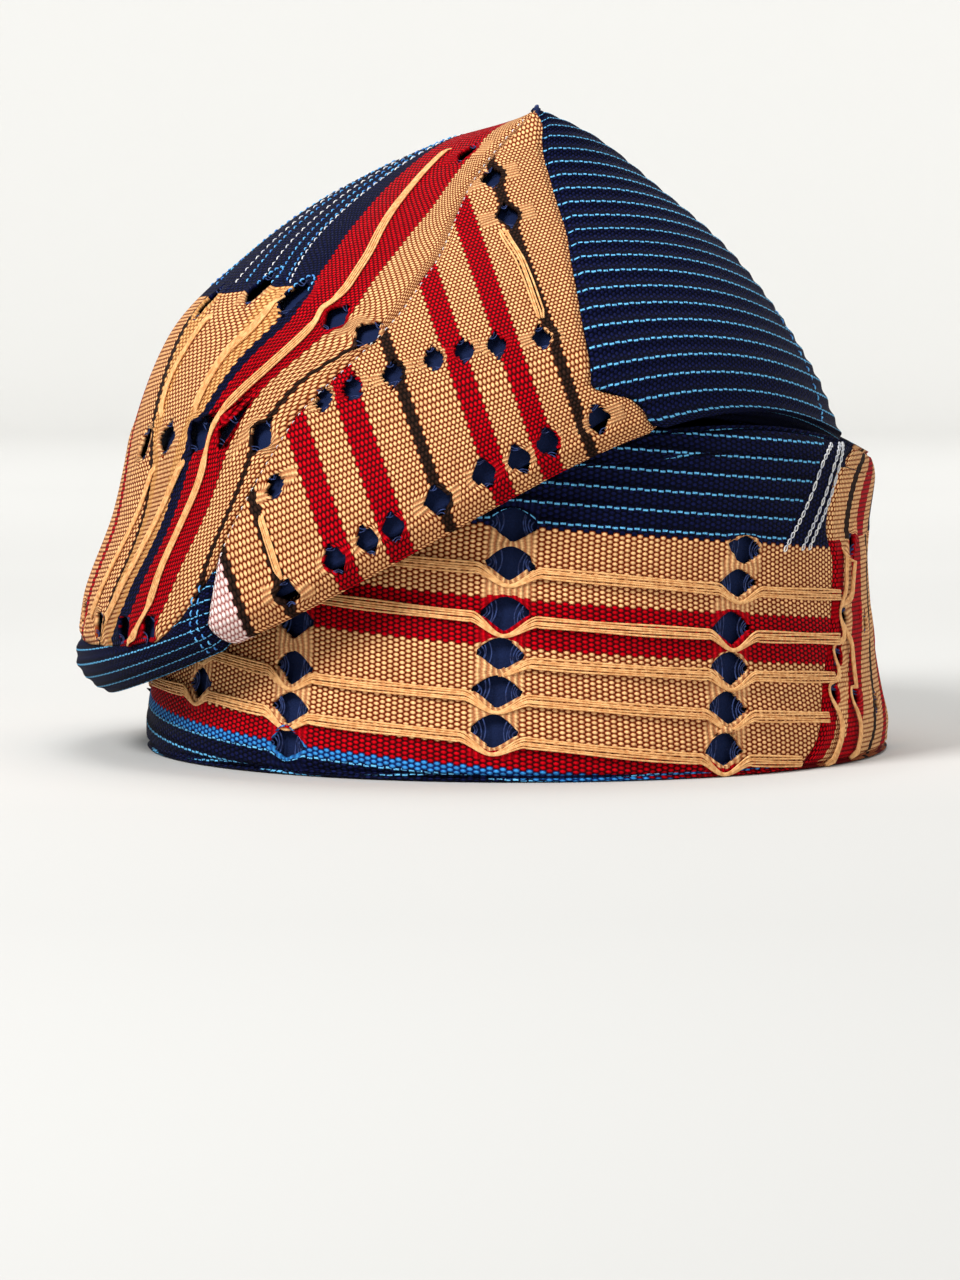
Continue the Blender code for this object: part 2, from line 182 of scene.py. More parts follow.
HAT = (0.0, 0.0, 0.07)
soft_lamp("key", (-0.7, -0.95, 0.95), 0.45, 23.0, HAT)
soft_lamp("fill", (1.0, -0.9, 0.45), 0.9, 4.0, HAT)
soft_lamp("top", (0.1, 0.15, 1.2), 0.8, 8.0, HAT)
soft_lamp("backdrop_left", (-1.2, 1.3, 0.8), 0.8, 18.5, (0.2, 3.2, 0.5))
soft_lamp("backdrop_right", (1.2, 1.3, 0.8), 0.8, 18.5, (-0.2, 3.2, 0.5))
room = bpy.data.worlds.new("room")
room.use_nodes = True
room.node_tree.nodes["Background"].inputs["Color"].default_value = (1.0, 0.99, 0.97, 1.0)
room.node_tree.nodes["Background"].inputs["Strength"].default_value = 0.34
bpy.context.scene.world = room
bpy.context.scene.view_settings.view_transform = "Standard"
print("sweep and", len(bpy.data.lights), "lamps")

# %% [markdown]
# ## The cap's two walls
#
# Band and crown are each one lofted wall: a stack of flat-topped ovals with a smooth curve through
# them. The crown's table is the folded shape itself. It leaves the band, turns down over it in a
# lobe at the left of the picture, turns up again at the lobe's edge, and closes at the crest.
# Simulated cloth could be dropped into such a fold, but a worn fila has a fold set by hand and
# pressed by use, so the sections are given and the cloth is laid on them.

# %% Sections of the band and the crown
# Columns, in mm: left, right, half depth, then the heights at the right, front right, front, front
# left and left, and how much lower the very back is.
BAND_SECTIONS = np.array([
    (-85.0, 85.0, 104.0, 0.0, 0.0, 0.0, 0.0, 0.0, 0),
    (-85.0, 85.0, 104.0, 6.0, 6.0, 6.0, 6.0, 6.0, 0),
    (-82.3, 82.0, 102.3, 24.0, 24.0, 24.0, 24.0, 24.0, 0),
    (-80.8, 80.3, 101.0, 46.0, 46.0, 46.0, 46.0, 46.0, 0),
    (-79.5, 82.0, 100.5, 62.0, 70.0, 68.5, 66.0, 61.0, 0),
    (-79.5, 80.5, 99.5, 68.0, 75.5, 73.0, 70.5, 65.5, 0),
])
CROWN_SECTIONS = np.array([
    (-80.0, 76.0, 99.6, 60.0, 75.0, 74.0, 71.5, 66.4, 0),
    (-86.0, 75.2, 104.0, 66.0, 77.4, 68.0, 50.0, 44.0, 0),
    (-88.5, 74.8, 106.0, 69.5, 78.2, 62.0, 33.0, 22.0, 0),
    (-93.5, 74.5, 110.5, 71.0, 78.8, 57.0, 25.0, 13.0, 0),
    (-101.0, 73.8, 114.5, 72.5, 80.8, 61.0, 30.5, 20.5, 0),
    (-99.5, 72.3, 114.5, 76.0, 84.0, 69.0, 43.0, 34.0, 0),
    (-92.5, 69.3, 112.0, 83.5, 91.0, 81.0, 62.5, 54.0, 0),
    (-88.0, 64.5, 107.0, 92.0, 99.5, 94.0, 82.0, 73.0, 0),
    (-79.5, 57.5, 98.0, 103.0, 110.0, 107.0, 99.0, 95.0, 1),
    (-62.0, 47.5, 87.0, 116.0, 120.5, 118.5, 114.0, 114.0, 3),
    (-38.0, 34.0, 76.0, 128.5, 131.5, 131.0, 128.5, 131.5, 5),
    (-13.0, 20.0, 67.0, 139.5, 141.0, 141.3, 141.3, 142.6, 7),
    (3.6, 4.4, 60.0, 145.8, 145.8, 145.4, 145.4, 145.8, 9),
])
STEP = 1e-3


def through(knots, values, at):
    """A smooth curve through the values that never overshoots them: a cubic between each two knots,
    whose slope at a knot is the harmonic mean of the slopes beside it, or 0 where they turn."""
    knots, values = np.asarray(knots, float), np.asarray(values, float)
    rise = (np.diff(values, axis=0).T / np.diff(knots)).T
    before, after = rise[:-1], rise[1:]
    same_way = before * after > 0
    safe = np.where(same_way, before + after, 1.0)
    slope = np.concatenate([rise[:1], np.where(same_way, 2.0 * before * after / safe, 0.0), rise[-1:]])
    at = np.clip(np.asarray(at, float), knots[0], knots[-1])
    k = np.clip(np.searchsorted(knots, at, side="right") - 1, 0, len(knots) - 2)
    width = knots[k + 1] - knots[k]
    t = (at - knots[k]) / width
    if values.ndim > 1:
        t, width = t[..., None], width[..., None]
    start, end = (1.0 + 2.0 * t) * (1.0 - t) ** 2, t * t * (3.0 - 2.0 * t)
    leaving, arriving = t * (1.0 - t) ** 2 * width, t * t * (t - 1.0) * width
    return start * values[k] + leaving * slope[k] + end * values[k + 1] + arriving * slope[k + 1]


def surface(sections, direction, row):
    """Points of a wall. x and y follow an oval. The height is a sum of five cosines of the
    direction that passes through the five heights of the section, less a drop towards the back."""
    direction, row = np.broadcast_arrays(np.asarray(direction, float), np.asarray(row, float))
    table = through(np.arange(len(sections)), sections, row)
    left, right, half_depth = table[..., 0], table[..., 1], table[..., 2]
    turn, waves = np.radians(direction), np.arange(5)
    mirrored = np.arccos(np.clip(np.cos(turn), -1.0, 1.0))
    fit = np.linalg.inv(np.cos(np.outer(np.radians([0, 45, 90, 135, 180]), waves)))
    height = np.sum(np.cos(mirrored[..., None] * waves) * (table[..., 3:8] @ fit.T), axis=-1)
    x = (left + right) / 2 + (right - left) / 2 * np.cos(turn)
    z = height - table[..., 8] * (1.0 - np.sin(turn)) / 2
    return np.stack([x, -half_depth * np.sin(turn), z], axis=-1)


def tangents(sections, direction, row):
    """How the wall moves for one degree and for one row, from the difference of two near points."""
    low = np.clip(row - STEP, 0, len(sections) - 1 - 2 * STEP)
    by_turn = surface(sections, direction + STEP, row) - surface(sections, direction - STEP, row)
    by_row = surface(sections, direction, low + 2 * STEP) - surface(sections, direction, low)
    return by_turn / (2 * STEP), by_row / (2 * STEP)


def unit(vectors):
    """The vectors at length 1."""
    return vectors / np.maximum(np.linalg.norm(vectors, axis=-1, keepdims=True), 1e-9)


def outwards(sections, direction, row):
    """The unit normal that points out of the cap: the cross product of the two tangents, turned out."""
    by_turn, by_row = tangents(sections, direction, row)
    return -unit(np.cross(by_turn, by_row))


def cloth_length(sections, directions):
    """A function that gives the length of cloth from row 0 up to a row, as a mean over directions."""
    rows = np.linspace(0, len(sections) - 1, 40 * (len(sections) - 1) + 1)
    points = surface(sections, np.asarray(directions, float)[None, :], rows[:, None])
    lengths = np.linalg.norm(np.diff(points, axis=0), axis=-1).mean(axis=1)
    total = np.concatenate([[0.0], np.cumsum(lengths)])
    return lambda row: np.interp(row, rows, total)


crown_front_point = surface(CROWN_SECTIONS, 90.0, 5.0)
print("front of the lobe at", np.round(crown_front_point, 1), "mm")

# %% [markdown]
# ## Seams
#
# The crown is sewn from a striped gore at the front, a striped gore on the left, a navy gore on the
# right, and a navy gusset under the lobe's tip. A seam is a curve on the wall: its direction is
# given at some rows, and a smooth curve runs through them. Seams could be cut with booleans, but a
# seam that bounds two grids of cloth stays exact and costs nothing.

# %% Seam tables
NAVY_SEAM = (
    (2.0, 4.0, 4.95, 5.75, 7.4, 8.6, 9.75, 11.0, 12.0),
    (63.2, 61.8, 63.5, 70.5, 70.5, 71.0, 75.0, 83.5, 85.5),
)
LEFT_SEAM = (
    (2.0, 3.2, 4.66, 5.31, 5.85, 6.5, 6.9, 7.4, 7.9, 8.75, 10.05, 11.0, 12.0),
    (129.5, 129.0, 127.8, 127.0, 124.4, 118.5, 112.0, 105.0, 101.0, 98.5, 103.0, 104.5, 106.0),
)
GUSSET_TOP = (
    (119.0, 125.0, 132.0, 139.0, 160.0, 180.0, 205.0, 270.0),
    (5.1, 5.1, 4.5, 4.05, 4.3, 4.45, 4.2, 4.1),
)
SIDE_SEAM = ((0.0, 1.63, 2.45, 2.95, 3.3, 5.0), (43.6, 35.4, 30.0, 28.7, 31.4, 20.0))
LIP, CREST, UNDERFOLD_TOP, BACK = 5.0, 12.0, 2.3, 270.0
BAND_BACK_SEAM = 196.0


def curve(table):
    """A table as a function."""
    return lambda at: through(table[0], table[1], at)


def fixed(value):
    """The same value everywhere."""
    return lambda at: np.full_like(np.asarray(at, float), value)


print("seams:", len(NAVY_SEAM[0]) + len(LEFT_SEAM[0]), "points,", "gusset:", len(GUSSET_TOP[0]))

# %% [markdown]
# ## Where the threads lie
#
# Every pattern on the cap follows its threads, so each panel has two cloth measures in millimetres:
# one across its stripes, which says which stripe a point is in, and one along them. They are kept
# on the mesh as an attribute. A picture could be unwrapped instead, but a measure stays sharp at any
# distance, and when a hole pushes the cloth aside the measure moves with it, so threads crowd
# together as they do in the real cloth.

# %% Cloth measures of the band
BAND_SLOPE = 0.115  # the band's stripes climb this many mm for each degree to the left
BAND_DEGREE, SIDE_DEGREE = 1.62, 1.5  # width of one degree of the band's panels, mm


def band_cloth(direction, row):
    """Across is the height over the rim along stripes that climb to the left, along the way round."""
    height = surface(BAND_SECTIONS, direction, row)[..., 2]
    return height - BAND_SLOPE * (direction - 90.0), (direction - 90.0) * BAND_DEGREE


def back_cloth(direction, row):
    """Behind, across is the height over the rim and along the way round."""
    return surface(BAND_SECTIONS, direction, row)[..., 2], direction * BAND_DEGREE


def side_cloth(direction, row):
    """Across is the way round from the slanted seam, so that the stripes run down the side."""
    height = surface(BAND_SECTIONS, direction, row)[..., 2]
    return (through(*SIDE_SEAM, row) - direction) * SIDE_DEGREE, height


# %% Cloth measures of the front gore
front_length = cloth_length(CROWN_SECTIONS, np.arange(70, 125, 10))
STRIPE_LEAN = math.radians(19.3)
EDGE_ROW = 3.2  # the lobe's edge as the picture shows it
FOLD_ROW = 6.0  # below this row the cloth turns away under the edge
LEAN_BACK = 0.35  # how much longer the cloth is high up, where it leans back


def front_cloth(direction, row):
    """Across is the distance along a line that leans 19.3 degrees, as the picture shows the stripes.
    Along is the length of cloth down the stripe, from the height of the wall above row 6 and from the
    measured length below it, where the cloth turns away under the lobe's edge."""
    seen = surface(CROWN_SECTIONS, direction, np.maximum(row, EDGE_ROW))
    across = seen[..., 0] * math.cos(STRIPE_LEAN) + seen[..., 2] * math.sin(STRIPE_LEAN)
    above = surface(CROWN_SECTIONS, direction, np.maximum(row, FOLD_ROW))
    below = front_length(np.minimum(row, FOLD_ROW)) - front_length(FOLD_ROW)
    lean_back = 1.0 + LEAN_BACK * np.clip((row - 6.5) / 4.0, 0.0, 1.0)
    along = above[..., 2] * math.cos(STRIPE_LEAN) - above[..., 0] * math.sin(STRIPE_LEAN)
    return across, along * lean_back + below


# %% Cloth measures of the left gore
# Rows at which the stripe edges are known, and for each thread number its direction there.
LEFT_ROWS = (3.8, 4.9, 5.6, 6.3, 6.9, 7.4, 8.0, 8.7, 9.4, 10.2, 11.0, 12.0)
LEFT_THREADS = {
    0.0: (132.5, 127.5, 124.9, 121.0, 112.0, 104.9, 100.6, 98.5, 100.0, 103.3, 104.5, 106.0),
    4.5: (134.0, 129.2, 127.3, 125.0, 118.0, 106.2, 102.0, 100.0, 101.5, 104.8, 106.0, 107.5),
    12.0: (142.5, 135.6, 132.7, 131.1, 125.6, 117.0, 109.8, 108.8, 108.5, 112.5, 121.0, 130.0),
    27.0: (151.4, 144.5, 140.9, 139.5, 135.4, 129.7, 122.8, 124.5, 130.0, 141.5, 155.0, 160.0),
    31.0: (155.0, 148.0, 143.9, 142.5, 137.7, 132.6, 126.0, 128.5, 135.0, 147.0, 160.0, 165.0),
    50.0: (161.0, 153.5, 150.5, 151.5, 155.0, 157.2, 160.0, 163.0, 167.0, 172.0, 178.0, 182.0),
    62.0: (171.0, 165.5, 164.0, 166.0, 169.5, 173.0, 175.5, 178.0, 180.0, 184.0, 188.0, 192.0),
    74.0: (186.0, 180.0, 181.0, 183.0, 185.0, 187.0, 189.0, 191.0, 193.0, 196.0, 200.0, 204.0),
    200.0: (270.0,) * 12,
}
left_length = cloth_length(CROWN_SECTIONS, np.arange(120, 200, 10))


def left_cloth(direction, row):
    """Across is the thread number, in a straight line between the two known threads beside a point."""
    numbers = np.array(list(LEFT_THREADS))
    turns = np.stack([through(LEFT_ROWS, turn, row) for turn in LEFT_THREADS.values()])
    share = np.clip((direction - turns[:-1]) / np.maximum(turns[1:] - turns[:-1], 0.05), 0.0, 1.0)
    return np.tensordot(np.diff(numbers), share, axes=1), left_length(row)


# %% Cloth measures of the navy pieces
right_length = cloth_length(CROWN_SECTIONS, np.arange(0, 75, 10))
# Width of one degree of the right gore at each row, mm.
RIGHT_DEGREE = (1.7, 1.75, 1.8, 1.85, 1.9, 1.9, 1.85, 1.75, 1.6, 1.35, 1.0, 0.75, 0.55)


def right_cloth(direction, row):
    """Across is the length of cloth up the gore, because its ribs run level. Along is the way round."""
    return right_length(row), (direction - 63.0) * np.interp(row, np.arange(len(RIGHT_DEGREE)), RIGHT_DEGREE)


def edge_cloth(direction, row):
    """The gusset's and the underfold's ribs follow the lobe's edge."""
    return left_length(row) * 1.4, (direction - 90.0) * 2.3


for name, cloth in (("band", band_cloth), ("front", front_cloth), ("left", left_cloth)):
    print(name, "threads at the front:", np.round(cloth(np.array([100.0]), np.array([4.9])), 1).ravel())

# %% [markdown]
# ## Openwork
#
# At a hole the weaver leaves the crossing threads out and ties the others into bundles, so the cloth
# parts like a slit that is pulled open: threads crowd into a narrow neck above and below, and the
# slit becomes a pointed oval. Holes could be cut out, but then the stripes would run straight into
# nothing. Here every point near a slit is moved sideways along the cloth, far less and less with
# distance, and only the cells that the slit runs through are taken out.

# %% Where the holes are
# Panel, directions, levels, half length along the threads, half width across them. A level is the
# height over the rim in the band, and the row in the crown.
def line(first, last, count):
    """Evenly spaced numbers."""
    return tuple(np.linspace(first, last, count))


HOLE_LINES = [
    ("band_front", (58.5, 57.2, 56.0, 55.2, 53.5, 52.2), (5.4, 14.8, 23.4, 32.0, 41.7, 48.8), 4.5, 3.6),
    ("band_front", (93.8, 93.2, 92.8, 92.0, 91.3, 91.2), (10.9, 19.6, 27.6, 36.2, 46.9, 55.3), 4.4, 3.6),
    ("band_front", line(126.5, 126.5, 5), (6.5, 14.6, 23.4, 33.3, 42.8), 4.5, 3.6),
    ("band_front", line(148.0, 147.0, 4), line(18.1, 45.4, 4), 4.4, 3.6),
    ("band_front", line(180.0, 180.0, 5), line(9.0, 45.4, 5), 4.4, 3.6),
    ("band_side", line(26.0, -4.0, 4), line(14.5, 6.9, 4), 2.6, 2.2),
    ("band_side", line(26.6, -6.0, 4), line(32.4, 25.8, 4), 2.6, 2.2),
    ("band_side", (30.2,), (24.1,), 2.4, 2.0),
    ("band_side", (33.0,), (15.8,), 2.4, 2.0),
    ("band_side", line(21.5, -6.0, 3), line(47.8, 45.5, 3), 3.0, 2.6),
    ("band_back", line(-50, -50, 6), line(9.0, 54.0, 6), 3.6, 3.0),
    ("band_back", line(-90, -90, 6), line(9.0, 54.0, 6), 3.6, 3.0),
    ("band_back", line(-130, -130, 6), line(9.0, 54.0, 6), 3.6, 3.0),
    ("crown_front", (69.3, 76.9, 81.0, 86.0, 92.6, 98.8, 102.5, 107.3, 114.9),
     (4.61, 4.48, 4.33, 4.41, 4.30, 4.18, 4.18, 4.09, 3.76), 2.9, 2.5),
    ("crown_front", (77.7, 85.0, 90.1, 95.0, 101.6, 108.1, 113.0),
     (6.86, 6.89, 6.91, 6.88, 6.79, 6.72, 6.66), 2.5, 2.0),
    ("crown_front", (85.8, 96.0), (9.2, 9.95), 3.2, 2.2),
    ("crown_front", (119.5,), (5.75,), 2.6, 2.2),
    ("crown_left", (106.5, 113.7), (7.45, 7.8), 3.3, 3.6),
    ("crown_left", (126.0, 138.9, 157.0), (8.26, 8.46, 8.35), 4.8, 4.4),
    ("crown_left", (123.8, 131.2), (6.39, 6.55), 3.5, 3.7),
    ("crown_left", (138.3, 147.8, 157.0), (6.6, 6.7, 6.75), 3.5, 5.2),
    ("crown_left", (140.6, 147.4, 157.0, 168.0), (4.3, 4.42, 4.6, 4.8), 3.0, 3.8),
    ("crown_left", (118.8,), (10.51,), 3.4, 2.6),
    ("crown_left", line(178.0, 255.0, 8), line(6.8, 6.8, 8), 3.2, 2.6),
    ("crown_left", line(185.0, 250.0, 6), line(5.1, 4.9, 6), 3.2, 2.4),
    ("crown_left", line(195.0, 250.0, 4), line(8.7, 8.5, 4), 3.2, 2.6),
]
# How far the threads stay bundled beside a hole, along and across, against its length and reach.
GATHER = {
    "band_front": (1.5, 1.3), "band_side": (1.3, 1.1), "band_back": (1.5, 1.3),
    "crown_front": (0.9, 0.95), "crown_left": (1.0, 1.1),
}
# How far across the threads a hole moves the cloth where no other hole is near, mm.
FREE_REACH = {"band": 5.2, "crown": 6.4}
NEAREST_GAP = 1.5  # a hole that is less than this away across the threads is no neighbour, mm
WIDEST_OPENING = 0.84  # half the width of a hole against its reach, at most
ARCH, ROUND_ARCH, OTHER_ARCH = 1.3, 0.85, 1.15  # powers of an opening's cosine: a low one is rounder
WALL_REACH, SLIT_REACH = 5.0, 2.2  # how far off the wall and off its line a slit is looked for, mm
SLIT = 1.18  # half the length of a slit against the half length of its hole
PINCH_BELOW, PINCH_ABOVE = 0.42, 0.14  # how much a tied bundle draws the cloth in along the threads


def row_at_height(direction, height):
    """The row at which the band reaches a height over the rim."""
    rows = np.linspace(0, LIP, 400)
    return float(np.interp(height, surface(BAND_SECTIONS, direction, rows)[:, 2], rows))


def hole_frame(sections, cloth, direction, row):
    """The place of a hole, and unit vectors along its threads, across them and out of the wall.
    The thread is the way on the wall in which the measure across doesn't change."""
    at = np.array([direction]), np.array([row])
    by_turn, by_row = (t[0] for t in tangents(sections, *at))
    across_by_turn = (cloth(at[0] + 0.05, at[1])[0] - cloth(at[0] - 0.05, at[1])[0])[0] / 0.1
    across_by_row = (cloth(at[0], at[1] + 0.005)[0] - cloth(at[0], at[1] - 0.005)[0])[0] / 0.01
    thread = unit(by_row * across_by_turn - by_turn * across_by_row)
    normal = outwards(sections, *at)[0]
    return surface(sections, *at)[0], thread, unit(np.cross(normal, thread)), normal


def holes_of(panel, sections, cloth):
    """The holes of a panel. Each reaches half way to its neighbour in the same line."""
    found = []
    for name, directions, levels, half_long, half_wide in HOLE_LINES:
        if name != panel:
            continue
        rows = [row_at_height(d, v) if sections is BAND_SECTIONS else v for d, v in zip(directions, levels)]
        places = [hole_frame(sections, cloth, float(d), float(r)) for d, r in zip(directions, rows)]
        middles = np.array([place[0] for place in places])
        for number, (middle, thread, sideways, normal) in enumerate(places):
            beside = [k for k in (number - 1, number + 1) if 0 <= k < len(places)]
            gaps = [abs(float((middles[k] - middle) @ sideways)) / 2 for k in beside]
            reach = min([FREE_REACH[panel.split("_")[0]]] + [gap for gap in gaps if gap > NEAREST_GAP])
            found.append({
                "middle": middle, "thread": thread, "sideways": sideways, "normal": normal,
                "direction": float(directions[number]), "row": float(rows[number]),
                "long": half_long, "wide": min(half_wide, WIDEST_OPENING * reach), "reach": reach,
                "gather_along": GATHER[panel][0], "gather_across": GATHER[panel][1],
                "round": ROUND_ARCH if panel == "band_front" else OTHER_ARCH,
            })
    return found


def opening(hole, along, across=-1.0):
    """Half the width of an open hole at a distance along its thread: a cosine arch with drawn-out
    tips, which is rounder on the side where across is above 0."""
    angle = np.clip(np.abs(along) / (SLIT * hole["long"]), 0.0, 1.0) * math.pi / 2
    return hole["wide"] * np.cos(angle) ** np.where(np.asarray(across) > 0, hole["round"], ARCH)


def open_holes(sections, direction, row, holes):
    """Directions and rows after the holes have opened, how strongly each point is gathered, and
    for each hole the side of its slit that a point is on, 0 where it is far away."""
    flat = surface(sections, direction, row)
    by_turn, by_row = tangents(sections, direction, row)
    gather, moved = np.zeros(direction.shape), np.zeros(flat.shape)
    sides = []
    for hole in holes:
        offset = flat - hole["middle"]
        along, across = offset @ hole["thread"], offset @ hole["sideways"]
        near = np.abs(offset @ hole["normal"]) < WALL_REACH
        inside = near & (np.abs(across) < hole["reach"] * 1.001)
        share = np.clip(np.abs(across) / hole["reach"], 0.0, 1.0)
        push = opening(hole, along, across) * (1.0 - share) ** 1.05 * np.where(across < 0, -1.0, 1.0)
        drawn = np.where(across < 0, PINCH_BELOW, PINCH_ABOVE) * np.exp(-((along / (0.75 * hole["long"])) ** 2))
        drawn = -along * drawn * (1.0 - share) ** 0.5
        moved = moved + np.where(inside, push, 0.0)[..., None] * hole["sideways"]
        moved = moved + np.where(inside, drawn, 0.0)[..., None] * hole["thread"]
        slit = inside & (np.abs(along) < SLIT * hole["long"]) & (np.abs(across) < SLIT_REACH)
        sides.append(np.where(slit, np.where(across < 0, -1, 1), 0))
        beside = near & (np.abs(across) < hole["reach"] * hole["gather_across"])
        closeness = np.clip(1.0 - (np.abs(along) / (hole["gather_along"] * hole["long"])) ** 2, 0.0, 1.0)
        gather = np.maximum(gather, np.where(beside, closeness, 0.0))
    g11, g12, g22 = (by_turn**2).sum(-1), (by_turn * by_row).sum(-1), (by_row**2).sum(-1)
    m1, m2 = (moved * by_turn).sum(-1), (moved * by_row).sum(-1)
    size = np.maximum(g11 * g22 - g12**2, 1e-6)
    return direction + (g22 * m1 - g12 * m2) / size, row + (g11 * m2 - g12 * m1) / size, gather, sides


print(sum(len(entry[1]) for entry in HOLE_LINES), "holes")

# %% [markdown]
# ## Laying a panel
#
# A panel is a fine grid between two seams and two level edges. Its edges dip in a little, as cloth
# does where it is turned in and sewn, and the band's upper and lower edges roll over into a hem.
# Solidify then gives the cloth its thickness. The grid is fine enough for a hole's outline, and the
# single threads are left to the material.

# %% Panel builder
CLOTH = 0.9  # thickness of the woven cloth, mm
HEM_BEND = 0.75  # radius of a rolled edge
SEAM_DIP, SEAM_REACH = 0.9, 1.7  # how deep and how wide the valley of a seam is
BUNDLE_LIFT = 0.25  # how far gathered cloth stands out, mm
panel_holes = {}


def panel_grid(lower, upper, first, last, tall, wide):
    """Directions and rows of a grid whose four sides lie on the bounds: lower and upper give rows
    at a direction, first and last directions at a row, and a few rounds settle both."""
    f = np.linspace(0.0, 1.0, tall)[:, None] + np.zeros((1, wide))
    g = np.linspace(0.0, 1.0, wide)[None, :] + np.zeros((tall, 1))
    row = f * 10.0
    for _ in range(12):
        direction = first(row) + (last(row) - first(row)) * g
        row = lower(direction) + (upper(direction) - lower(direction)) * f
    return direction, row


def seam_dip(points):
    """How deep each point of a grid lies in the valleys along its sides: a quarter of a cosine."""
    across = np.linalg.norm(np.diff(points, axis=1), axis=-1)
    up = np.linalg.norm(np.diff(points, axis=0), axis=-1)
    left = np.concatenate([np.zeros((len(points), 1)), np.cumsum(across, axis=1)], axis=1)
    foot = np.concatenate([np.zeros((1, points.shape[1])), np.cumsum(up, axis=0)], axis=0)
    dip = np.zeros(left.shape)
    for distance in (left, left[:, -1:] - left, foot, foot[-1:] - foot):
        dip = np.maximum(dip, np.cos(np.clip(distance / SEAM_REACH, 0, 1) * math.pi / 2))
    return dip


def rolled(sections, direction, row, sign, inside_rows):
    """Rows of points that carry an edge of the band round a half circle and a little way back
    inside. sign is -1 at the rim and +1 at the lip. The points lie inwards of the edge and beyond it."""
    edge_row, edge_turn = row[-1 if sign > 0 else 0], direction[-1 if sign > 0 else 0]
    inward = -outwards(sections, edge_turn, edge_row)
    upward = unit(tangents(sections, edge_turn, edge_row)[1])
    edge = surface(sections, edge_turn, edge_row)
    turns = np.linspace(0.0, math.pi, 8)[1:]
    round_it = [edge + HEM_BEND * ((1 - math.cos(a)) * inward + sign * math.sin(a) * upward) for a in turns]
    back = [round_it[-1] - sign * upward * step for step in inside_rows]
    beyond = [HEM_BEND * a for a in turns] + [HEM_BEND * math.pi + step for step in inside_rows]
    return np.array(round_it + back), np.array(beyond)


def lay_panel(name, node, sections, bounds, tall, wide, cloth, relief=None, hem=False):
    """A panel of cloth as a thing with its wall, and its measures kept as the attribute cloth."""
    direction, row = panel_grid(*bounds, tall, wide)
    across, along = cloth(direction, row)
    holes = panel_holes[name] = holes_of(name, sections, cloth)
    opened_direction, opened_row, gather, sides = open_holes(sections, direction, row, holes)
    opened_row = np.clip(opened_row, 0, len(sections) - 1)
    points = surface(sections, opened_direction, opened_row)
    normal = outwards(sections, opened_direction, opened_row)
    lift = np.zeros(row.shape) if relief is None else relief(across, along, gather)
    lift = lift - SEAM_DIP * seam_dip(points)
    lift = lift + BUNDLE_LIFT * gather
    points = points + lift[..., None] * normal
    faces = grid_faces(tall, wide)
    keep = np.ones(len(faces), bool)
    for side in sides:
        corners = side.ravel()[faces]
        keep &= ~((corners.min(axis=1) < 0) & (corners.max(axis=1) > 0))
    faces = faces[keep]
    measures = np.stack([across, along, gather], axis=-1)
    if hem:
        foot, foot_beyond = rolled(sections, direction, row, -1, (1.0, 2.2))
        head, head_beyond = rolled(sections, direction, row, 1, (1.2, 2.6, 4.2, 6.0))
        foot, foot_beyond = foot[::-1], foot_beyond[::-1]
        foot_measures = np.repeat(measures[:1], len(foot), axis=0)
        head_measures = np.repeat(measures[-1:], len(head), axis=0)
        foot_measures[..., 0] -= foot_beyond[:, None]
        head_measures[..., 0] += head_beyond[:, None]
        points = np.concatenate([foot, points, head])
        measures = np.concatenate([foot_measures, measures, head_measures])
        shift = len(foot) * wide
        below = grid_faces(len(foot) + 1, wide)
        above = grid_faces(len(head) + 1, wide) + (len(foot) + tall - 1) * wide
        faces = np.concatenate([below, faces + shift, above])
    points, measures = points.reshape(-1, 3), measures.reshape(-1, 3)
    used = np.unique(faces)
    renumber = np.zeros(len(points), int)
    renumber[used] = np.arange(len(used))
    thing = mesh_object(name + "_cloth", points[used], renumber[faces][:, ::-1])
    kept = thing.data.attributes.new("cloth", "FLOAT_VECTOR", "POINT")
    kept.data.foreach_set("vector", measures[used].ravel())
    wall = thing.modifiers.new("wall", "SOLIDIFY")
    wall.thickness, wall.offset = CLOTH * MM, -1.0
    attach(thing, "root")
    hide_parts(node)
    print(name, len(faces), "cells,", len(holes), "holes")
    return thing


# %% [markdown]
# ## Yarns and weave
#
# The cloth is warp-faced: short ovals of thread stand in columns, and every second column is shifted
# by half an oval. Between two ovals the thread dips into a darker tone, partly the weft's own colour
# and partly painted shade, and where four meet a deep gap is painted as shade. A picture of cloth could
# be tiled, but it would blur and repeat, so the ovals are computed from the two cloth measures. The
# weave is one node group, placed in each cloth's material with its own pitches, and each oval gets a
# chance number of its own, so that no two threads have quite the same tone.

# %% Helpers for nodes
def rgb(red, green, blue):
    """A colour given as 0 to 255 on a screen, as the linear numbers that Blender works with."""
    shares = np.array([red, green, blue]) / 255.0
    linear = np.where(shares <= 0.04045, shares / 12.92, ((shares + 0.055) / 1.055) ** 2.4)
    return (float(linear[0]), float(linear[1]), float(linear[2]), 1.0)


def feed(tree, socket, value):
    """Link an output to a socket, or set a plain number on it."""
    if isinstance(value, bpy.types.NodeSocket):
        tree.links.new(value, socket)
    else:
        socket.default_value = value


def calc(tree, operation, *values):
    """A Math node's result."""
    node = tree.nodes.new("ShaderNodeMath")
    node.operation = operation
    for socket, value in zip(node.inputs, values):
        feed(tree, socket, value)
    return node.outputs[0]


def between(tree, value, start, end, low=0.0, high=1.0, smooth=True):
    """A number carried from start..end to low..high, eased at both ends."""
    node = tree.nodes.new("ShaderNodeMapRange")
    node.interpolation_type = "SMOOTHSTEP" if smooth else "LINEAR"
    for name, amount in (
        ("Value", value), ("From Min", start), ("From Max", end), ("To Min", low), ("To Max", high),
    ):
        feed(tree, node.inputs[name], amount)
    return node.outputs["Result"]


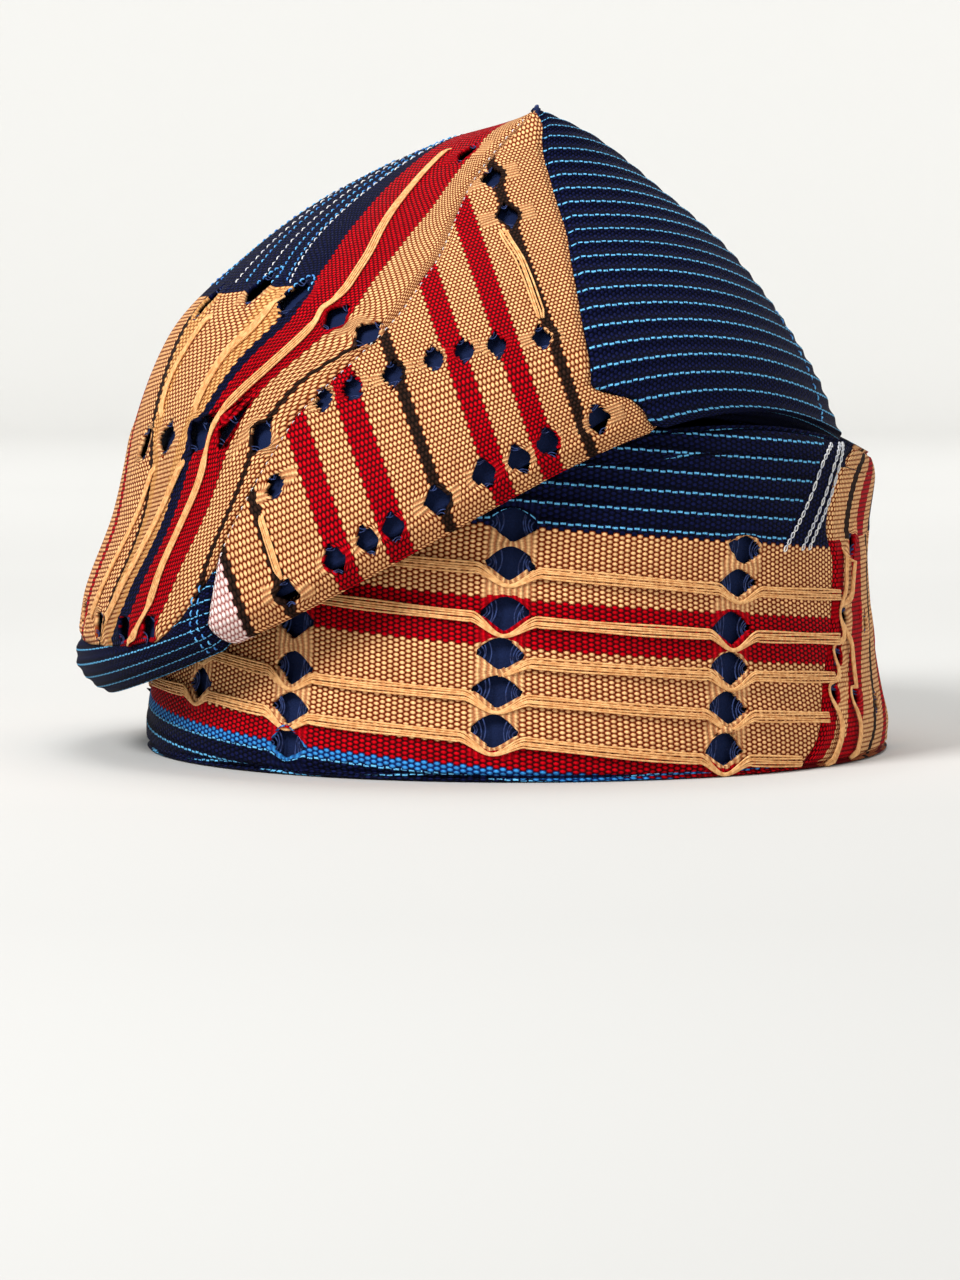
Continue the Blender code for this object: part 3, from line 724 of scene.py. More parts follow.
def mixed(tree, factor, first, second):
    """Two colours mixed by a factor."""
    node = tree.nodes.new("ShaderNodeMix")
    node.data_type = "RGBA"
    feed(tree, node.inputs["Factor"], factor)
    feed(tree, node.inputs[6], first)
    feed(tree, node.inputs[7], second)
    return node.outputs[2]


def blended(tree, factor, first, second):
    """Two numbers mixed by a factor."""
    rest = calc(tree, "SUBTRACT", 1.0, factor)
    return calc(tree, "MULTIPLY_ADD", first, rest, calc(tree, "MULTIPLY", second, factor))


def new_group(name, numbers, outputs):
    """An empty node group with number inputs and number outputs."""
    tree = bpy.data.node_groups.new(name, "ShaderNodeTree")
    for label, value in numbers:
        tree.interface.new_socket(label, in_out="INPUT", socket_type="NodeSocketFloat").default_value = value
    for label in outputs:
        tree.interface.new_socket(label, in_out="OUTPUT", socket_type="NodeSocketFloat")
    return tree, tree.nodes.new("NodeGroupInput").outputs, tree.nodes.new("NodeGroupOutput").inputs


def new_material(name, roughness, specular):
    """A material, its node tree and its shader."""
    material = bpy.data.materials.new(name)
    material.use_nodes = True
    shader = material.node_tree.nodes["Principled BSDF"]
    shader.inputs["Roughness"].default_value = roughness
    shader.inputs["Specular IOR Level"].default_value = specular
    return material, material.node_tree, shader


def noise_at(tree, scale):
    """A noise that follows the place on the object."""
    place = tree.nodes.new("ShaderNodeTexCoord")
    noise = tree.nodes.new("ShaderNodeTexNoise")
    noise.inputs["Scale"].default_value = scale
    tree.links.new(place.outputs["Object"], noise.inputs["Vector"])
    return noise.outputs["Fac"]


def raise_by(tree, shader, height, distance):
    """Bump: the surface stands out by the height, where 1 is the distance in mm."""
    bump = tree.nodes.new("ShaderNodeBump")
    bump.inputs["Strength"].default_value = 1.0
    bump.inputs["Distance"].default_value = distance * MM
    tree.links.new(height, bump.inputs["Height"])
    tree.links.new(bump.outputs["Normal"], shader.inputs["Normal"])


# %% The weave group
RIB = 4.28  # from one dashed line of the navy cloth to the next, mm
DASH_PITCH = 1.9  # from one dash to the next, mm


def make_weave_group():
    """Columns of ovals, every second one shifted by half an oval. With b and h the distances from
    the oval's middle in pitches, an oval is where (b / 0.53)^1.7 + (h / 0.43)^2 is under 1. Where
    the cloth is gathered, each column becomes an upright rib with fine rungs. A painted shade darkens
    the gaps where four ovals meet. A dash is a short light thread that lies on each rib of the navy
    cloth, a little higher and lower in turn, and a painted shade darkens the groove just above it."""
    tree, take, give = new_group(
        "weave",
        [("Across", 0.0), ("Along", 0.0), ("Gather", 0.0), ("Across Pitch", 1.04), ("Along Pitch", 1.56),
         ("Ladder", 0.0)],
        ["Thread", "Gap Shade", "Height", "Stripe", "Chance", "Dash", "Groove Shade"],
    )
    column = calc(tree, "DIVIDE", take["Along"], take["Along Pitch"])
    column_number = calc(tree, "FLOOR", column)
    beside = calc(tree, "SUBTRACT", calc(tree, "FRACT", column), 0.5)
    odd = calc(tree, "FLOORED_MODULO", column_number, 2.0)
    shift = calc(tree, "MULTIPLY", odd, 0.5)
    level = calc(tree, "ADD", calc(tree, "DIVIDE", take["Across"], take["Across Pitch"]), shift)
    line_number = calc(tree, "FLOOR", level)
    above = calc(tree, "SUBTRACT", calc(tree, "FRACT", level), 0.5)
    wide = calc(tree, "POWER", calc(tree, "ABSOLUTE", calc(tree, "DIVIDE", beside, 0.53)), 1.7)
    high = calc(tree, "POWER", calc(tree, "ABSOLUTE", calc(tree, "DIVIDE", above, 0.43)), 2.0)
    away = calc(tree, "ADD", wide, high)
    column_turn = calc(tree, "MULTIPLY", beside, 2 * math.pi)
    rib = calc(tree, "MULTIPLY_ADD", calc(tree, "COSINE", column_turn), 0.5, 0.5)
    rung_turn = calc(tree, "MULTIPLY", above, 2 * math.pi)
    rungs = calc(tree, "MULTIPLY_ADD", calc(tree, "COSINE", rung_turn), 0.16, 0.84)
    gathered = between(tree, take["Gather"], 0.15, 0.6)
    beside_rib = calc(tree, "SUBTRACT", 1.0, rib)
    ladder = calc(tree, "SUBTRACT", 1.0, calc(tree, "MULTIPLY", beside_rib, take["Ladder"]))
    oval = calc(tree, "MULTIPLY", between(tree, away, 1.0, 0.3), ladder)
    # Gathered cloth: upright ribs with fine rungs. The darker tone between them is partly the weft's own colour
    # and partly painted shade.
    tight = calc(tree, "MULTIPLY", calc(tree, "MULTIPLY_ADD", rib, 0.72, 0.26), rungs)
    dome = calc(tree, "SQRT", calc(tree, "MAXIMUM", calc(tree, "SUBTRACT", 1.0, away), 0.0))
    shallow = calc(tree, "MULTIPLY_ADD", gathered, -0.85, 1.0)
    # Painted shade in the gaps where four ovals meet, weaker where the cloth is gathered.
    deep = calc(tree, "MULTIPLY", between(tree, away, 1.0, 1.75), shallow)
    number = tree.nodes.new("ShaderNodeCombineXYZ")
    tree.links.new(column_number, number.inputs["X"])
    tree.links.new(line_number, number.inputs["Y"])
    noise = tree.nodes.new("ShaderNodeTexWhiteNoise")
    noise.noise_dimensions = "2D"
    tree.links.new(number.outputs[0], noise.inputs["Vector"])
    middle = calc(tree, "SUBTRACT", calc(tree, "ADD", line_number, 0.5), shift)
    from_line = calc(tree, "FLOORED_MODULO", calc(tree, "ADD", take["Across"], RIB * 3 / 8), RIB)
    dash_turn = calc(tree, "DIVIDE", take["Along"], DASH_PITCH)
    dash_odd = calc(tree, "FLOORED_MODULO", calc(tree, "FLOOR", dash_turn), 2.0)
    dash_beside = calc(tree, "ABSOLUTE", calc(tree, "SUBTRACT", calc(tree, "FRACT", dash_turn), 0.5))
    off_line = calc(tree, "SUBTRACT", from_line, RIB / 2)
    staggered = calc(tree, "ADD", off_line, calc(tree, "MULTIPLY_ADD", dash_odd, 0.16, -0.08))
    dash = calc(tree, "MULTIPLY", between(tree, calc(tree, "ABSOLUTE", staggered), 0.3, 0.14),
                between(tree, dash_beside, 0.41, 0.32))
    # Painted shade: the groove just above each dashed line of the navy cloth is darkened.
    groove_shade = between(tree, calc(tree, "ABSOLUTE", calc(tree, "SUBTRACT", off_line, 0.85)), 0.75, 0.2)
    for name, result in (
        ("Thread", blended(tree, gathered, oval, tight)),
        ("Gap Shade", deep),
        ("Height", blended(tree, gathered, dome, rib)),
        ("Stripe", calc(tree, "MULTIPLY", middle, take["Across Pitch"])),
        ("Chance", noise.outputs["Value"]),
        ("Dash", dash),
        ("Groove Shade", groove_shade),
    ):
        tree.links.new(result, give[name])
    return tree


weave_group = make_weave_group()
print("weave group:", len(weave_group.nodes), "nodes")

# %% [markdown]
# ## Striped cloth
#
# A cloth's stripes are a list: where each starts across the threads, and its yarn. A yarn has the
# colour of its thread, the tone between ovals, which is partly the weft's own colour and partly painted
# shade, the painted shade of the deep gaps, and whether it is the navy kind, which is ribbed and has
# dashed light-blue threads. Colour ramps that jump from stop to stop look the stripe up, at the middle
# of each oval, so a stripe ends in whole threads.

# %% Yarns
# Each yarn: thread colour, the tone between ovals (partly the weft's own colour, partly painted shade), the
# painted shade of the deep gaps, and the navy mark.
YARNS = {
    "tan": (rgb(255, 204, 142), rgb(150, 58, 22), rgb(38, 9, 2), 0.0),
    "net": (rgb(255, 200, 138), rgb(150, 64, 28), rgb(38, 12, 4), 0.0),
    "smooth": (rgb(242, 186, 118), rgb(190, 118, 62), rgb(104, 54, 24), 0.0),
    "pink": (rgb(252, 236, 230), rgb(214, 158, 152), rgb(104, 36, 40), 0.0),
    "red": (rgb(204, 0, 20), rgb(90, 0, 6), rgb(30, 0, 2), 0.0),
    "black": (rgb(50, 30, 22), rgb(28, 17, 12), rgb(8, 5, 4), 0.0),
    "sky": (rgb(60, 150, 220), rgb(18, 56, 128), rgb(5, 12, 44), 0.0),
    "plain navy": (rgb(14, 20, 58), rgb(5, 8, 28), rgb(2, 3, 12), 0.0),
    "navy": (rgb(17, 23, 66), rgb(5, 8, 30), rgb(2, 3, 12), 1.0),
}
DASH = rgb(110, 196, 246)


def stripe_ramp(tree, at, stripes, low, high, part):
    """A colour ramp with one hard stop a stripe. part 0 gives threads, with the navy mark as alpha,
    part 1 the tone between ovals, partly the weft's own colour and partly painted shade, and part 2
    the painted shade of the gaps."""
    node = tree.nodes.new("ShaderNodeValToRGB")
    ramp = node.color_ramp
    ramp.interpolation = "CONSTANT"
    while len(ramp.elements) > 1:
        ramp.elements.remove(ramp.elements[-1])
    for number, (start, yarn) in enumerate(stripes):
        position = min(max((start - low) / (high - low), 0.0), 1.0)
        stop = ramp.elements[0] if number == 0 else ramp.elements.new(position)
        stop.position = position
        stop.color = YARNS[yarn][part][:3] + (YARNS[yarn][3],)
    feed(tree, node.inputs["Fac"], between(tree, at, low, high, smooth=False))
    return node


def cloth_material(name, stripes, pitches=(1.04, 1.56), regions=(), depth=0.42, rib=0.5, ladder=0.0):
    """A woven cloth. Each of the regions is a level of the second measure, above which it has
    stripes of its own, how far that level falls for each millimetre of the first, and the stripes.
    depth is how far the ovals stand out in mm, rib how far the navy ribs do, and ladder how dark the
    cross lines between columns are, in a tone that is partly the weft's own and partly painted shade."""
    material, tree, shader = new_material(name, 0.72, 0.05)
    nodes = tree.nodes
    measure = nodes.new("ShaderNodeAttribute")
    measure.attribute_name = "cloth"
    parts = nodes.new("ShaderNodeSeparateXYZ")
    tree.links.new(measure.outputs["Vector"], parts.inputs[0])
    across, along, gather = parts.outputs
    weave = nodes.new("ShaderNodeGroup")
    weave.node_tree = weave_group
    for label, value in (("Across", across), ("Along", along), ("Gather", gather),
                         ("Across Pitch", pitches[0]), ("Along Pitch", pitches[1]), ("Ladder", ladder)):
        feed(tree, weave.inputs[label], value)
    out = weave.outputs
    starts = [start for listed in (stripes, *(region[2] for region in regions)) for start, _ in listed]
    low, high = min(starts), max(starts) + 1.0
    ramps = [stripe_ramp(tree, out["Stripe"], stripes, low, high, part) for part in range(3)]
    colours, navy = [ramp.outputs["Color"] for ramp in ramps], ramps[0].outputs["Alpha"]
    for level, slant, listed in regions:
        inside = calc(tree, "GREATER_THAN", calc(tree, "MULTIPLY_ADD", across, slant, along), level)
        own = [stripe_ramp(tree, out["Stripe"], listed, low, high, part) for part in range(3)]
        colours = [mixed(tree, inside, colour, ramp.outputs["Color"]) for colour, ramp in zip(colours, own)]
        navy = blended(tree, inside, navy, own[0].outputs["Alpha"])
    tone = nodes.new("ShaderNodeHueSaturation")
    feed(tree, tone.inputs["Value"], calc(tree, "MULTIPLY_ADD", out["Chance"], 0.3, 0.84))
    feed(tree, tone.inputs["Color"], colours[0])
    # The tone between ovals is partly the weft's own colour and partly painted shade, and the gaps get a
    # painted shade.
    colour = mixed(tree, out["Thread"], colours[1], tone.outputs["Color"])
    colour = mixed(tree, out["Gap Shade"], colour, colours[2])
    # Painted shade in the navy cloth's groove just above each dashed line.
    groove_shade = calc(tree, "MULTIPLY", calc(tree, "MULTIPLY", out["Groove Shade"], navy), 0.7)
    colour = mixed(tree, groove_shade, colour, YARNS["navy"][2])
    colour = mixed(tree, calc(tree, "MULTIPLY", out["Dash"], navy), colour, DASH)
    tree.links.new(colour, shader.inputs["Base Color"])
    rib_turn = calc(tree, "MULTIPLY", calc(tree, "SUBTRACT", across, RIB / 8), 2 * math.pi / RIB)
    rib_height = calc(tree, "MULTIPLY", calc(tree, "MULTIPLY", calc(tree, "COSINE", rib_turn), rib), navy)
    height = calc(tree, "MULTIPLY_ADD", out["Height"], depth, rib_height)
    height = calc(tree, "MULTIPLY_ADD", calc(tree, "MULTIPLY", out["Dash"], navy), 0.2, height)
    raise_by(tree, shader, height, 1.0)
    return material


# %% Stripes of each cloth
BAND_STRIPES = [
    (-12.0, "navy"), (0.6, "sky"), (2.6, "red"), (7.4, "tan"), (28.9, "red"), (38.9, "tan"), (54.8, "navy"),
]
BAND_END = [(start, "plain navy" if yarn == "navy" else yarn) for start, yarn in BAND_STRIPES]
SIDE_STRIPES = [
    (-3.0, "red"), (5.3, "tan"), (10.8, "red"), (19.8, "tan"), (28.0, "black"), (30.2, "tan"),
    (38.4, "red"), (45.0, "tan"), (54.0, "plain navy"), (60.0, "tan"),
]
SIDE_UPPER = [
    (-3.0, "tan"), (8.6, "black"), (11.6, "tan"), (17.4, "red"), (25.0, "tan"),
    (34.0, "plain navy"), (60.0, "tan"),
]
FRONT_STRIPES = [
    (-60.0, "pink"), (-45.4, "black"), (-43.9, "net"), (-35.4, "black"),
    (-33.2, "net"), (-22.5, "red"), (-17.8, "net"), (-10.0, "red"), (-4.7, "net"), (3.0, "black"),
    (5.2, "net"), (14.8, "red"), (19.6, "net"), (26.2, "red"), (30.9, "net"), (36.8, "black"), (39.0, "net"),
]
LEFT_STRIPES = [
    (-2.0, "net"), (3.4, "black"), (4.9, "net"), (12.0, "red"), (27.0, "plain navy"), (31.0, "smooth"),
    (35.5, "net"), (45.0, "smooth"), (48.8, "black"), (50.2, "net"), (60.8, "red"), (63.4, "net"),
    (73.0, "black"), (75.0, "net"), (92.0, "red"), (104.0, "net"), (110.0, "plain navy"),
    (116.0, "net"), (134.0, "black"), (137.0, "net"), (152.0, "red"), (160.0, "net"),
    (172.0, "black"), (175.0, "net"), (190.0, "red"),
]
LEFT_MIDDLE = [(start, "net" if start == 3.4 else yarn) for start, yarn in LEFT_STRIPES]
LEFT_UPPER = [(-2.0, "net"), (12.0, "red"), (27.0, "plain navy")]
band_material = cloth_material("band_cloth", BAND_END, regions=((-38.0, 0.674, BAND_STRIPES),), ladder=0.35)
side_material = cloth_material("side_cloth", SIDE_STRIPES, (0.8, 1.0), ((49.5, 0.0, SIDE_UPPER),), depth=0.2)
front_material = cloth_material("front_cloth", FRONT_STRIPES, (0.95, 1.3), ladder=0.35)
left_regions = ((float(left_length(7.5)), 0.0, LEFT_MIDDLE), (float(left_length(8.45)), 0.0, LEFT_UPPER))
left_material = cloth_material("left_cloth", LEFT_STRIPES, (0.95, 1.02), left_regions, ladder=0.35)
navy_material = cloth_material("navy_cloth", [(-60.0, "navy")], (1.07, 1.22))
plain_material = cloth_material("plain_navy_cloth", [(-60.0, "plain navy")], (1.07, 1.22))
cloths = (band_material, side_material, front_material, left_material, navy_material, plain_material)
print("cloths:", [material.name for material in cloths])

# %% [markdown]
# ## The band
#
# The band is one strip of cloth round the head, sewn at the right of the picture to a strip whose
# threads run down. Its stripes climb a little to the left. Behind, where the picture doesn't look,
# the same striped cloth goes on with level stripes.

# %% Lay the band
HEM_ROW, LIP_ROW = 0.17, 4.88  # where the rim and the lip start to roll over
SIDE_BACK = -12.0  # where the side strip ends behind, degrees

pieces = {}
for name, node, first, last, wide, cloth, material in (
    ("band_front", "band_front", curve(SIDE_SEAM), fixed(BAND_BACK_SEAM), 330, band_cloth, band_material),
    ("band_side", "band_side", fixed(SIDE_BACK), curve(SIDE_SEAM), 72, side_cloth, side_material),
    ("band_back", "band_side", fixed(BAND_BACK_SEAM - 360), fixed(SIDE_BACK), 200, back_cloth, band_material),
):
    bounds = (fixed(HEM_ROW), fixed(LIP_ROW), first, last)
    pieces[name] = lay_panel(name, node, BAND_SECTIONS, bounds, 100, wide, cloth, hem=True)
    pieces[name].data.materials.append(material)

# %% [markdown]
# ## The crown
#
# The gores are laid between their seams. The navy cloth is a rib weave, so its ribs stand out as
# real waves of the mesh, and the material adds the threads on them.

# %% Lay the crown
RIB_HEIGHT = 0.22  # of the navy cloth's ribs in the mesh, mm


def ribs(across, along, gather):
    """Soft waves that rise once for each dashed line."""
    return RIB_HEIGHT * np.cos((across - RIB / 8) * 2 * math.pi / RIB)


for name, bounds, tall, wide, cloth, material, relief in (
    ("crown_right", (fixed(UNDERFOLD_TOP), fixed(CREST), fixed(BACK - 360), curve(NAVY_SEAM)),
     150, 240, right_cloth, navy_material, ribs),
    ("crown_front", (fixed(UNDERFOLD_TOP), fixed(11.9), curve(NAVY_SEAM), curve(LEFT_SEAM)),
     150, 96, front_cloth, front_material, None),
    ("crown_left", (curve(GUSSET_TOP), fixed(CREST), curve(LEFT_SEAM), fixed(BACK)),
     140, 250, left_cloth, left_material, None),
    ("crown_gusset", (fixed(UNDERFOLD_TOP), curve(GUSSET_TOP), curve(LEFT_SEAM), fixed(BACK)),
     34, 200, edge_cloth, navy_material, ribs),
    ("crown_underfold", (fixed(0.0), fixed(UNDERFOLD_TOP), fixed(BACK - 360), fixed(BACK)),
     40, 300, edge_cloth, plain_material, ribs),
):
    pieces[name] = lay_panel(name, name, CROWN_SECTIONS, bounds, tall, wide, cloth, relief)
    pieces[name].data.materials.append(material)

# %% [markdown]
# ## The lining
#
# A smooth dark blue lining shows through the holes and from below. It is one bag in the real cap.
# Here the band's part runs up past the lip and the crown's part starts below it, so that the two
# overlap and no light comes between them.

# %% Lining
LINING = 0.8  # thickness of the lining, mm
LINING_COLUMNS = 180
BAND_DEPTH, LIP_TUCK, CROWN_DEPTH = 2.2, 2.0, 2.6  # how far inside the wall it lies, mm
# The row at which the crown's lining starts, at some directions.
LINING_FOOT = ((-90.0, -78.0, -60.0, 60.0, 78.0, 90.0, 270.0), (3.6, 3.8, 4.8, 4.8, 3.8, 3.6, 3.6))


def lining_material():
    """Plain navy cotton: fine crossing threads, only just seen, and a slow drift of tone."""
    material, tree, shader = new_material("lining_cotton", 0.8, 0.12)
    fine, slow = noise_at(tree, 2200.0), noise_at(tree, 60.0)
    both = calc(tree, "MULTIPLY_ADD", slow, 0.6, calc(tree, "MULTIPLY", fine, 0.4))
    colour = mixed(tree, both, rgb(10, 18, 46), rgb(26, 42, 84))
    tree.links.new(colour, shader.inputs["Base Color"])
    raise_by(tree, shader, fine, 0.2)
    return material


def lay_lining(node, sections, lower, upper, tall, depth, material):
    """A ring of cloth inside the wall. depth gives how far inside it lies at each row."""
    first, last = fixed(BACK - 360), fixed(BACK - 2.0)
    direction, row = panel_grid(lower, upper, first, last, tall, LINING_COLUMNS)
    points = surface(sections, direction, row) - depth(row)[..., None] * outwards(sections, direction, row)
    faces = grid_faces(tall, LINING_COLUMNS, wrap=True)[:, ::-1]
    thing = mesh_object(node + "_cotton", points.reshape(-1, 3), faces)
    wall = thing.modifiers.new("wall", "SOLIDIFY")
    wall.thickness, wall.offset = LINING * MM, -1.0
    thing.data.materials.append(material)
    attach(thing, "root")
    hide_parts(node)
    print(node, len(points.reshape(-1, 3)), "points")
    return thing


def band_depth(row):
    """The band's lining turns in under the crown near the lip."""
    return BAND_DEPTH + LIP_TUCK * np.clip((row - 4.3) / 0.7, 0.0, 1.0) ** 2


def crown_depth(row):
    """The crown's lining closes along the crest."""
    return CROWN_DEPTH * np.clip(CREST - row, 0.06, 1.0)


cotton = lining_material()
for node, sections, lower, upper, tall, depth in (
    ("lining_band", BAND_SECTIONS, fixed(0.35), fixed(LIP), 34, band_depth),
    ("lining_crown", CROWN_SECTIONS, curve(LINING_FOOT), fixed(11.93), 70, crown_depth),
):
    pieces[node] = lay_lining(node, sections, lower, upper, tall, depth, cotton)

# %% [markdown]
# ## Loose threads
#
# Bundles of threads float over the weave from one hole to the next and dip into the tied neck
# beside each hole. Navy threads fray across the tips of the holes. Chains and rows of stitches lie
# on the plain navy cloth. All are thin tubes along paths on the wall. Curve objects would do too,
# but hundreds of paths are worked out faster as whole arrays, and the tubes end closed.

# %% Tubes along paths
TUBE_SIDES = 6


def tubes(paths, normals, radius):
    """Points and faces of closed tubes round many paths at once. A ring of six points stands round
    each path point, spanned by the way across the path and the way up from it. Two quads close
    each end."""
    count, steps = paths.shape[:2]
    ahead = unit(np.gradient(paths, axis=1))
    across = unit(np.cross(normals, ahead))
    up = np.cross(ahead, across)
    turn = np.arange(TUBE_SIDES) * 2 * math.pi / TUBE_SIDES
    ring = np.cos(turn)[:, None] * across[:, :, None] + np.sin(turn)[:, None] * up[:, :, None]
    thick = np.broadcast_to(radius, (count, steps))[..., None, None]
    points = (paths[:, :, None] + thick * ring).reshape(-1, 3)
    end = np.array([[0, 1, 2, 3], [0, 3, 4, 5]])
    far_end = end + (steps - 1) * TUBE_SIDES
    one = np.concatenate([grid_faces(steps, TUBE_SIDES, wrap=True), end[:, ::-1], far_end])
    faces = one[None] + (np.arange(count) * steps * TUBE_SIDES)[:, None, None]
    return points, faces.reshape(-1, 4)


def thread_object(name, node, parts, material):
    """One piece from several sets of tubes."""
    shifts = np.cumsum([0] + [len(points) for points, _ in parts])
    points = np.concatenate([part[0] for part in parts])
    faces = np.concatenate([part[1] + shift for part, shift in zip(parts, shifts)])
    thing = mesh_object(name, points, faces)
    thing.data.materials.append(material)
    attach(thing, "root")
    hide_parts(node)
    print(name, len(faces), "faces")
    return thing


def thread_material(name, light, dark):
    """Spun thread: its tone drifts along it, and a fine noise breaks the surface into fibres."""
    material, tree, shader = new_material(name, 0.6, 0.3)
    fibres = noise_at(tree, 900.0)
    tree.links.new(mixed(tree, between(tree, fibres, 0.3, 0.7), dark, light), shader.inputs["Base Color"])
    raise_by(tree, shader, fibres, 0.15)
    return material


tan_thread = thread_material("tan_thread", rgb(246, 192, 128), rgb(212, 148, 88))
navy_thread = thread_material("navy_thread", rgb(44, 64, 118), rgb(12, 20, 58))
white_thread = thread_material("white_thread", rgb(246, 244, 238), rgb(196, 200, 214))
blue_thread = thread_material("blue_thread", rgb(112, 200, 250), rgb(40, 110, 196))


# %% Floats
def route(sections, knots, steps):
    """Evenly spaced directions and rows on a smooth curve through the knots (direction, row)."""
    knots = np.asarray(knots, float)
    corners = surface(sections, knots[:, 0], knots[:, 1])
    reached = np.concatenate([[0.0], np.cumsum(np.linalg.norm(np.diff(corners, axis=0), axis=-1))])
    at = np.linspace(0.0, reached[-1], steps)
    return through(reached, knots[:, 0], at), through(reached, knots[:, 1], at), reached[-1]


DIP_REACH = 7.2  # how far before a hole a float starts to dip, mm
STRAND = 0.22  # radius of one thread of a float, mm


def float_bundle(sections, knots, holes, side, strands, width, lift=0.75):
    """Tubes of a bundle of threads. side -1 or 1 says on which side of the holes it dips: there it
    is pushed to the hole's edge by a squared cosine, draws together and sinks to the cloth. With
    side 0 it keeps its route, and only draws together where it passes close to a hole."""
    rough = route(sections, knots, 4)[2]
    steps = int(max(24, rough / 0.8))
    direction, row, length = route(sections, knots, steps)
    points = surface(sections, direction, row)
    normal = outwards(sections, direction, row)
    close = np.zeros(steps)
    for hole in holes:
        offset = points - hole["middle"]
        along, across = offset @ hole["thread"], offset @ hole["sideways"]
        if side == 0:
            beside = np.clip((np.linalg.norm(offset, axis=-1) - hole["wide"]) / 3.4, 0.0, 1.0)
            close = np.maximum(close, 0.8 * np.cos(beside * math.pi / 2) ** 2)
            continue
        near = (np.abs(offset @ hole["normal"]) < 4.0) & (np.abs(across) < 3.0)
        dip = np.where(near, np.cos(np.clip(np.abs(along) / DIP_REACH, 0.0, 1.0) * math.pi / 2) ** 2, 0.0)
        target = side * (hole["wide"] + 1.2)
        points = points + (dip * (target - across))[:, None] * hole["sideways"]
        close = np.maximum(close, dip)
    ahead = unit(np.gradient(points, axis=0))
    across_way = unit(np.cross(normal, ahead))
    at = np.linspace(0.0, length, steps)
    end = np.clip(np.minimum(at, length - at) / 2.5, 0.0, 1.0)
    points = points - (1.6 * abs(side) * (1.0 - close))[:, None] * across_way
    spread = width * (1.0 - 0.8 * close) * (0.45 + 0.55 * end)
    height = (0.25 + lift * (1.0 - close)) * end - 0.5 * (1.0 - end) + 0.25 * close
    numbers = np.arange(strands) - (strands - 1) / 2
    waver = 0.09 * np.sin(at[None] / 5.0 + numbers[:, None] * 2.3) * (1.0 - close[None])
    sideways = numbers[:, None] / max(strands - 1, 1) * spread[None] + waver
    over = height[None] - 0.12 * (numbers[:, None] / max(strands, 1)) ** 2 + waver * 0.6
    paths = points[None] + sideways[..., None] * across_way[None] + over[..., None] * normal[None]
    paths[..., 2] = np.maximum(paths[..., 2], 1.5 * STRAND)  # clear of the floor
    return tubes(paths, np.broadcast_to(normal[None], paths.shape), STRAND)


BAND_FLOATS = [  # direction and height over the rim
    ((112.0, 49.4), (91.3, 47.1), (53.5, 41.7), (27.0, 38.7)),
    ((124.0, 40.7), (92.0, 36.6), (55.2, 32.0), (28.5, 29.0)),
    ((92.8, 27.8), (56.0, 23.4), (31.5, 20.8)),
    ((180.0, 27.0), (148.0, 26.6), (126.5, 23.4), (93.2, 19.8), (57.2, 14.8), (35.0, 12.3)),
    ((180.0, 18.1), (148.0, 17.4), (126.5, 14.6), (93.8, 10.9), (58.5, 5.4), (42.5, 3.6)),
    ((190.0, 37.5), (180.0, 36.3), (147.3, 36.0), (136.0, 35.5)),
]
SIDE_FLOATS = [
    ((37.5, 1.6), (33.0, 13.0), (28.5, 27.0), (26.0, 48.0)),
    ((30.0, 2.0), (27.6, 11.0), (26.5, 28.0), (21.5, 47.8)),
]
BACK_FLOATS = [
    ((-14.0, z), (-50.0, z), (-90.0, z), (-130.0, z), (-162.0, z)) for z in (18.0, 27.0, 45.0)
]
LEFT_FLOATS = [  # side, strands, width of the bundle in mm, then direction and row
    (0, 4, 2.0, ((134.7, 10.63), (123.3, 9.75), (115.0, 8.75), (114.1, 8.3), (115.3, 8.07), (117.1, 7.95),
                 (117.3, 7.8), (118.4, 7.65), (123.9, 7.26), (129.6, 6.97), (132.6, 6.81), (134.6, 6.62),
                 (135.2, 6.43), (135.6, 6.18), (137.1, 5.75), (138.4, 5.36), (140.9, 4.69), (143.0, 4.43),
                 (144.2, 4.25), (146.5, 4.12))),
    (0, 5, 2.3, ((129.0, 8.3), (131.7, 7.86), (136.2, 7.55), (139.5, 7.1), (140.6, 6.86))),
    (0, 4, 1.9, ((141.0, 6.4), (143.9, 5.99), (147.5, 5.36), (151.0, 4.94), (154.5, 4.6))),
    (0, 5, 2.3, ((148.5, 8.2), (151.0, 7.8), (153.0, 7.33), (152.0, 6.95))),
    (0, 4, 1.8, ((150.5, 6.45), (153.5, 5.8), (158.0, 5.1), (162.0, 4.7))),
]
FRONT_FLOATS = [
    (0, 4, 1.4, ((121.0, 5.5), (118.4, 5.14), (116.2, 4.56), (115.2, 4.2))),
    (0, 4, 1.8, ((86.6, 9.0), (80.5, 8.2), (77.3, 7.15))),
]


def band_route(knots):
    """Directions and rows of a route that is given by heights over the rim."""
    return [(d, row_at_height(d, z)) for d, z in knots]


def band_bundles(listed, panel, strands, width):
    """The bundles of several routes on the band, which dip below the panel's holes."""
    holes = panel_holes[panel]
    return [float_bundle(BAND_SECTIONS, band_route(knots), holes, -1, strands, width) for knots in listed]


def crown_bundles(listed, panel):
    """The bundles of several routes on the crown, which lie lower."""
    return [float_bundle(CROWN_SECTIONS, knots, panel_holes[panel], *how, 0.2) for *how, knots in listed]


side_bundles = band_bundles(SIDE_FLOATS, "band_side", 4, 1.5)
back_bundles = band_bundles(BACK_FLOATS, "band_back", 4, 1.6)
for name, node, parts in (
    ("band_floats", "band_front", band_bundles(BAND_FLOATS, "band_front", 5, 2.15)),
    ("side_floats", "band_side", side_bundles + back_bundles),
    ("left_floats", "crown_left", crown_bundles(LEFT_FLOATS, "crown_left")),
    ("front_floats", "crown_front", crown_bundles(FRONT_FLOATS, "crown_front")),
):
    pieces[name] = thread_object(name, node, parts, tan_thread)

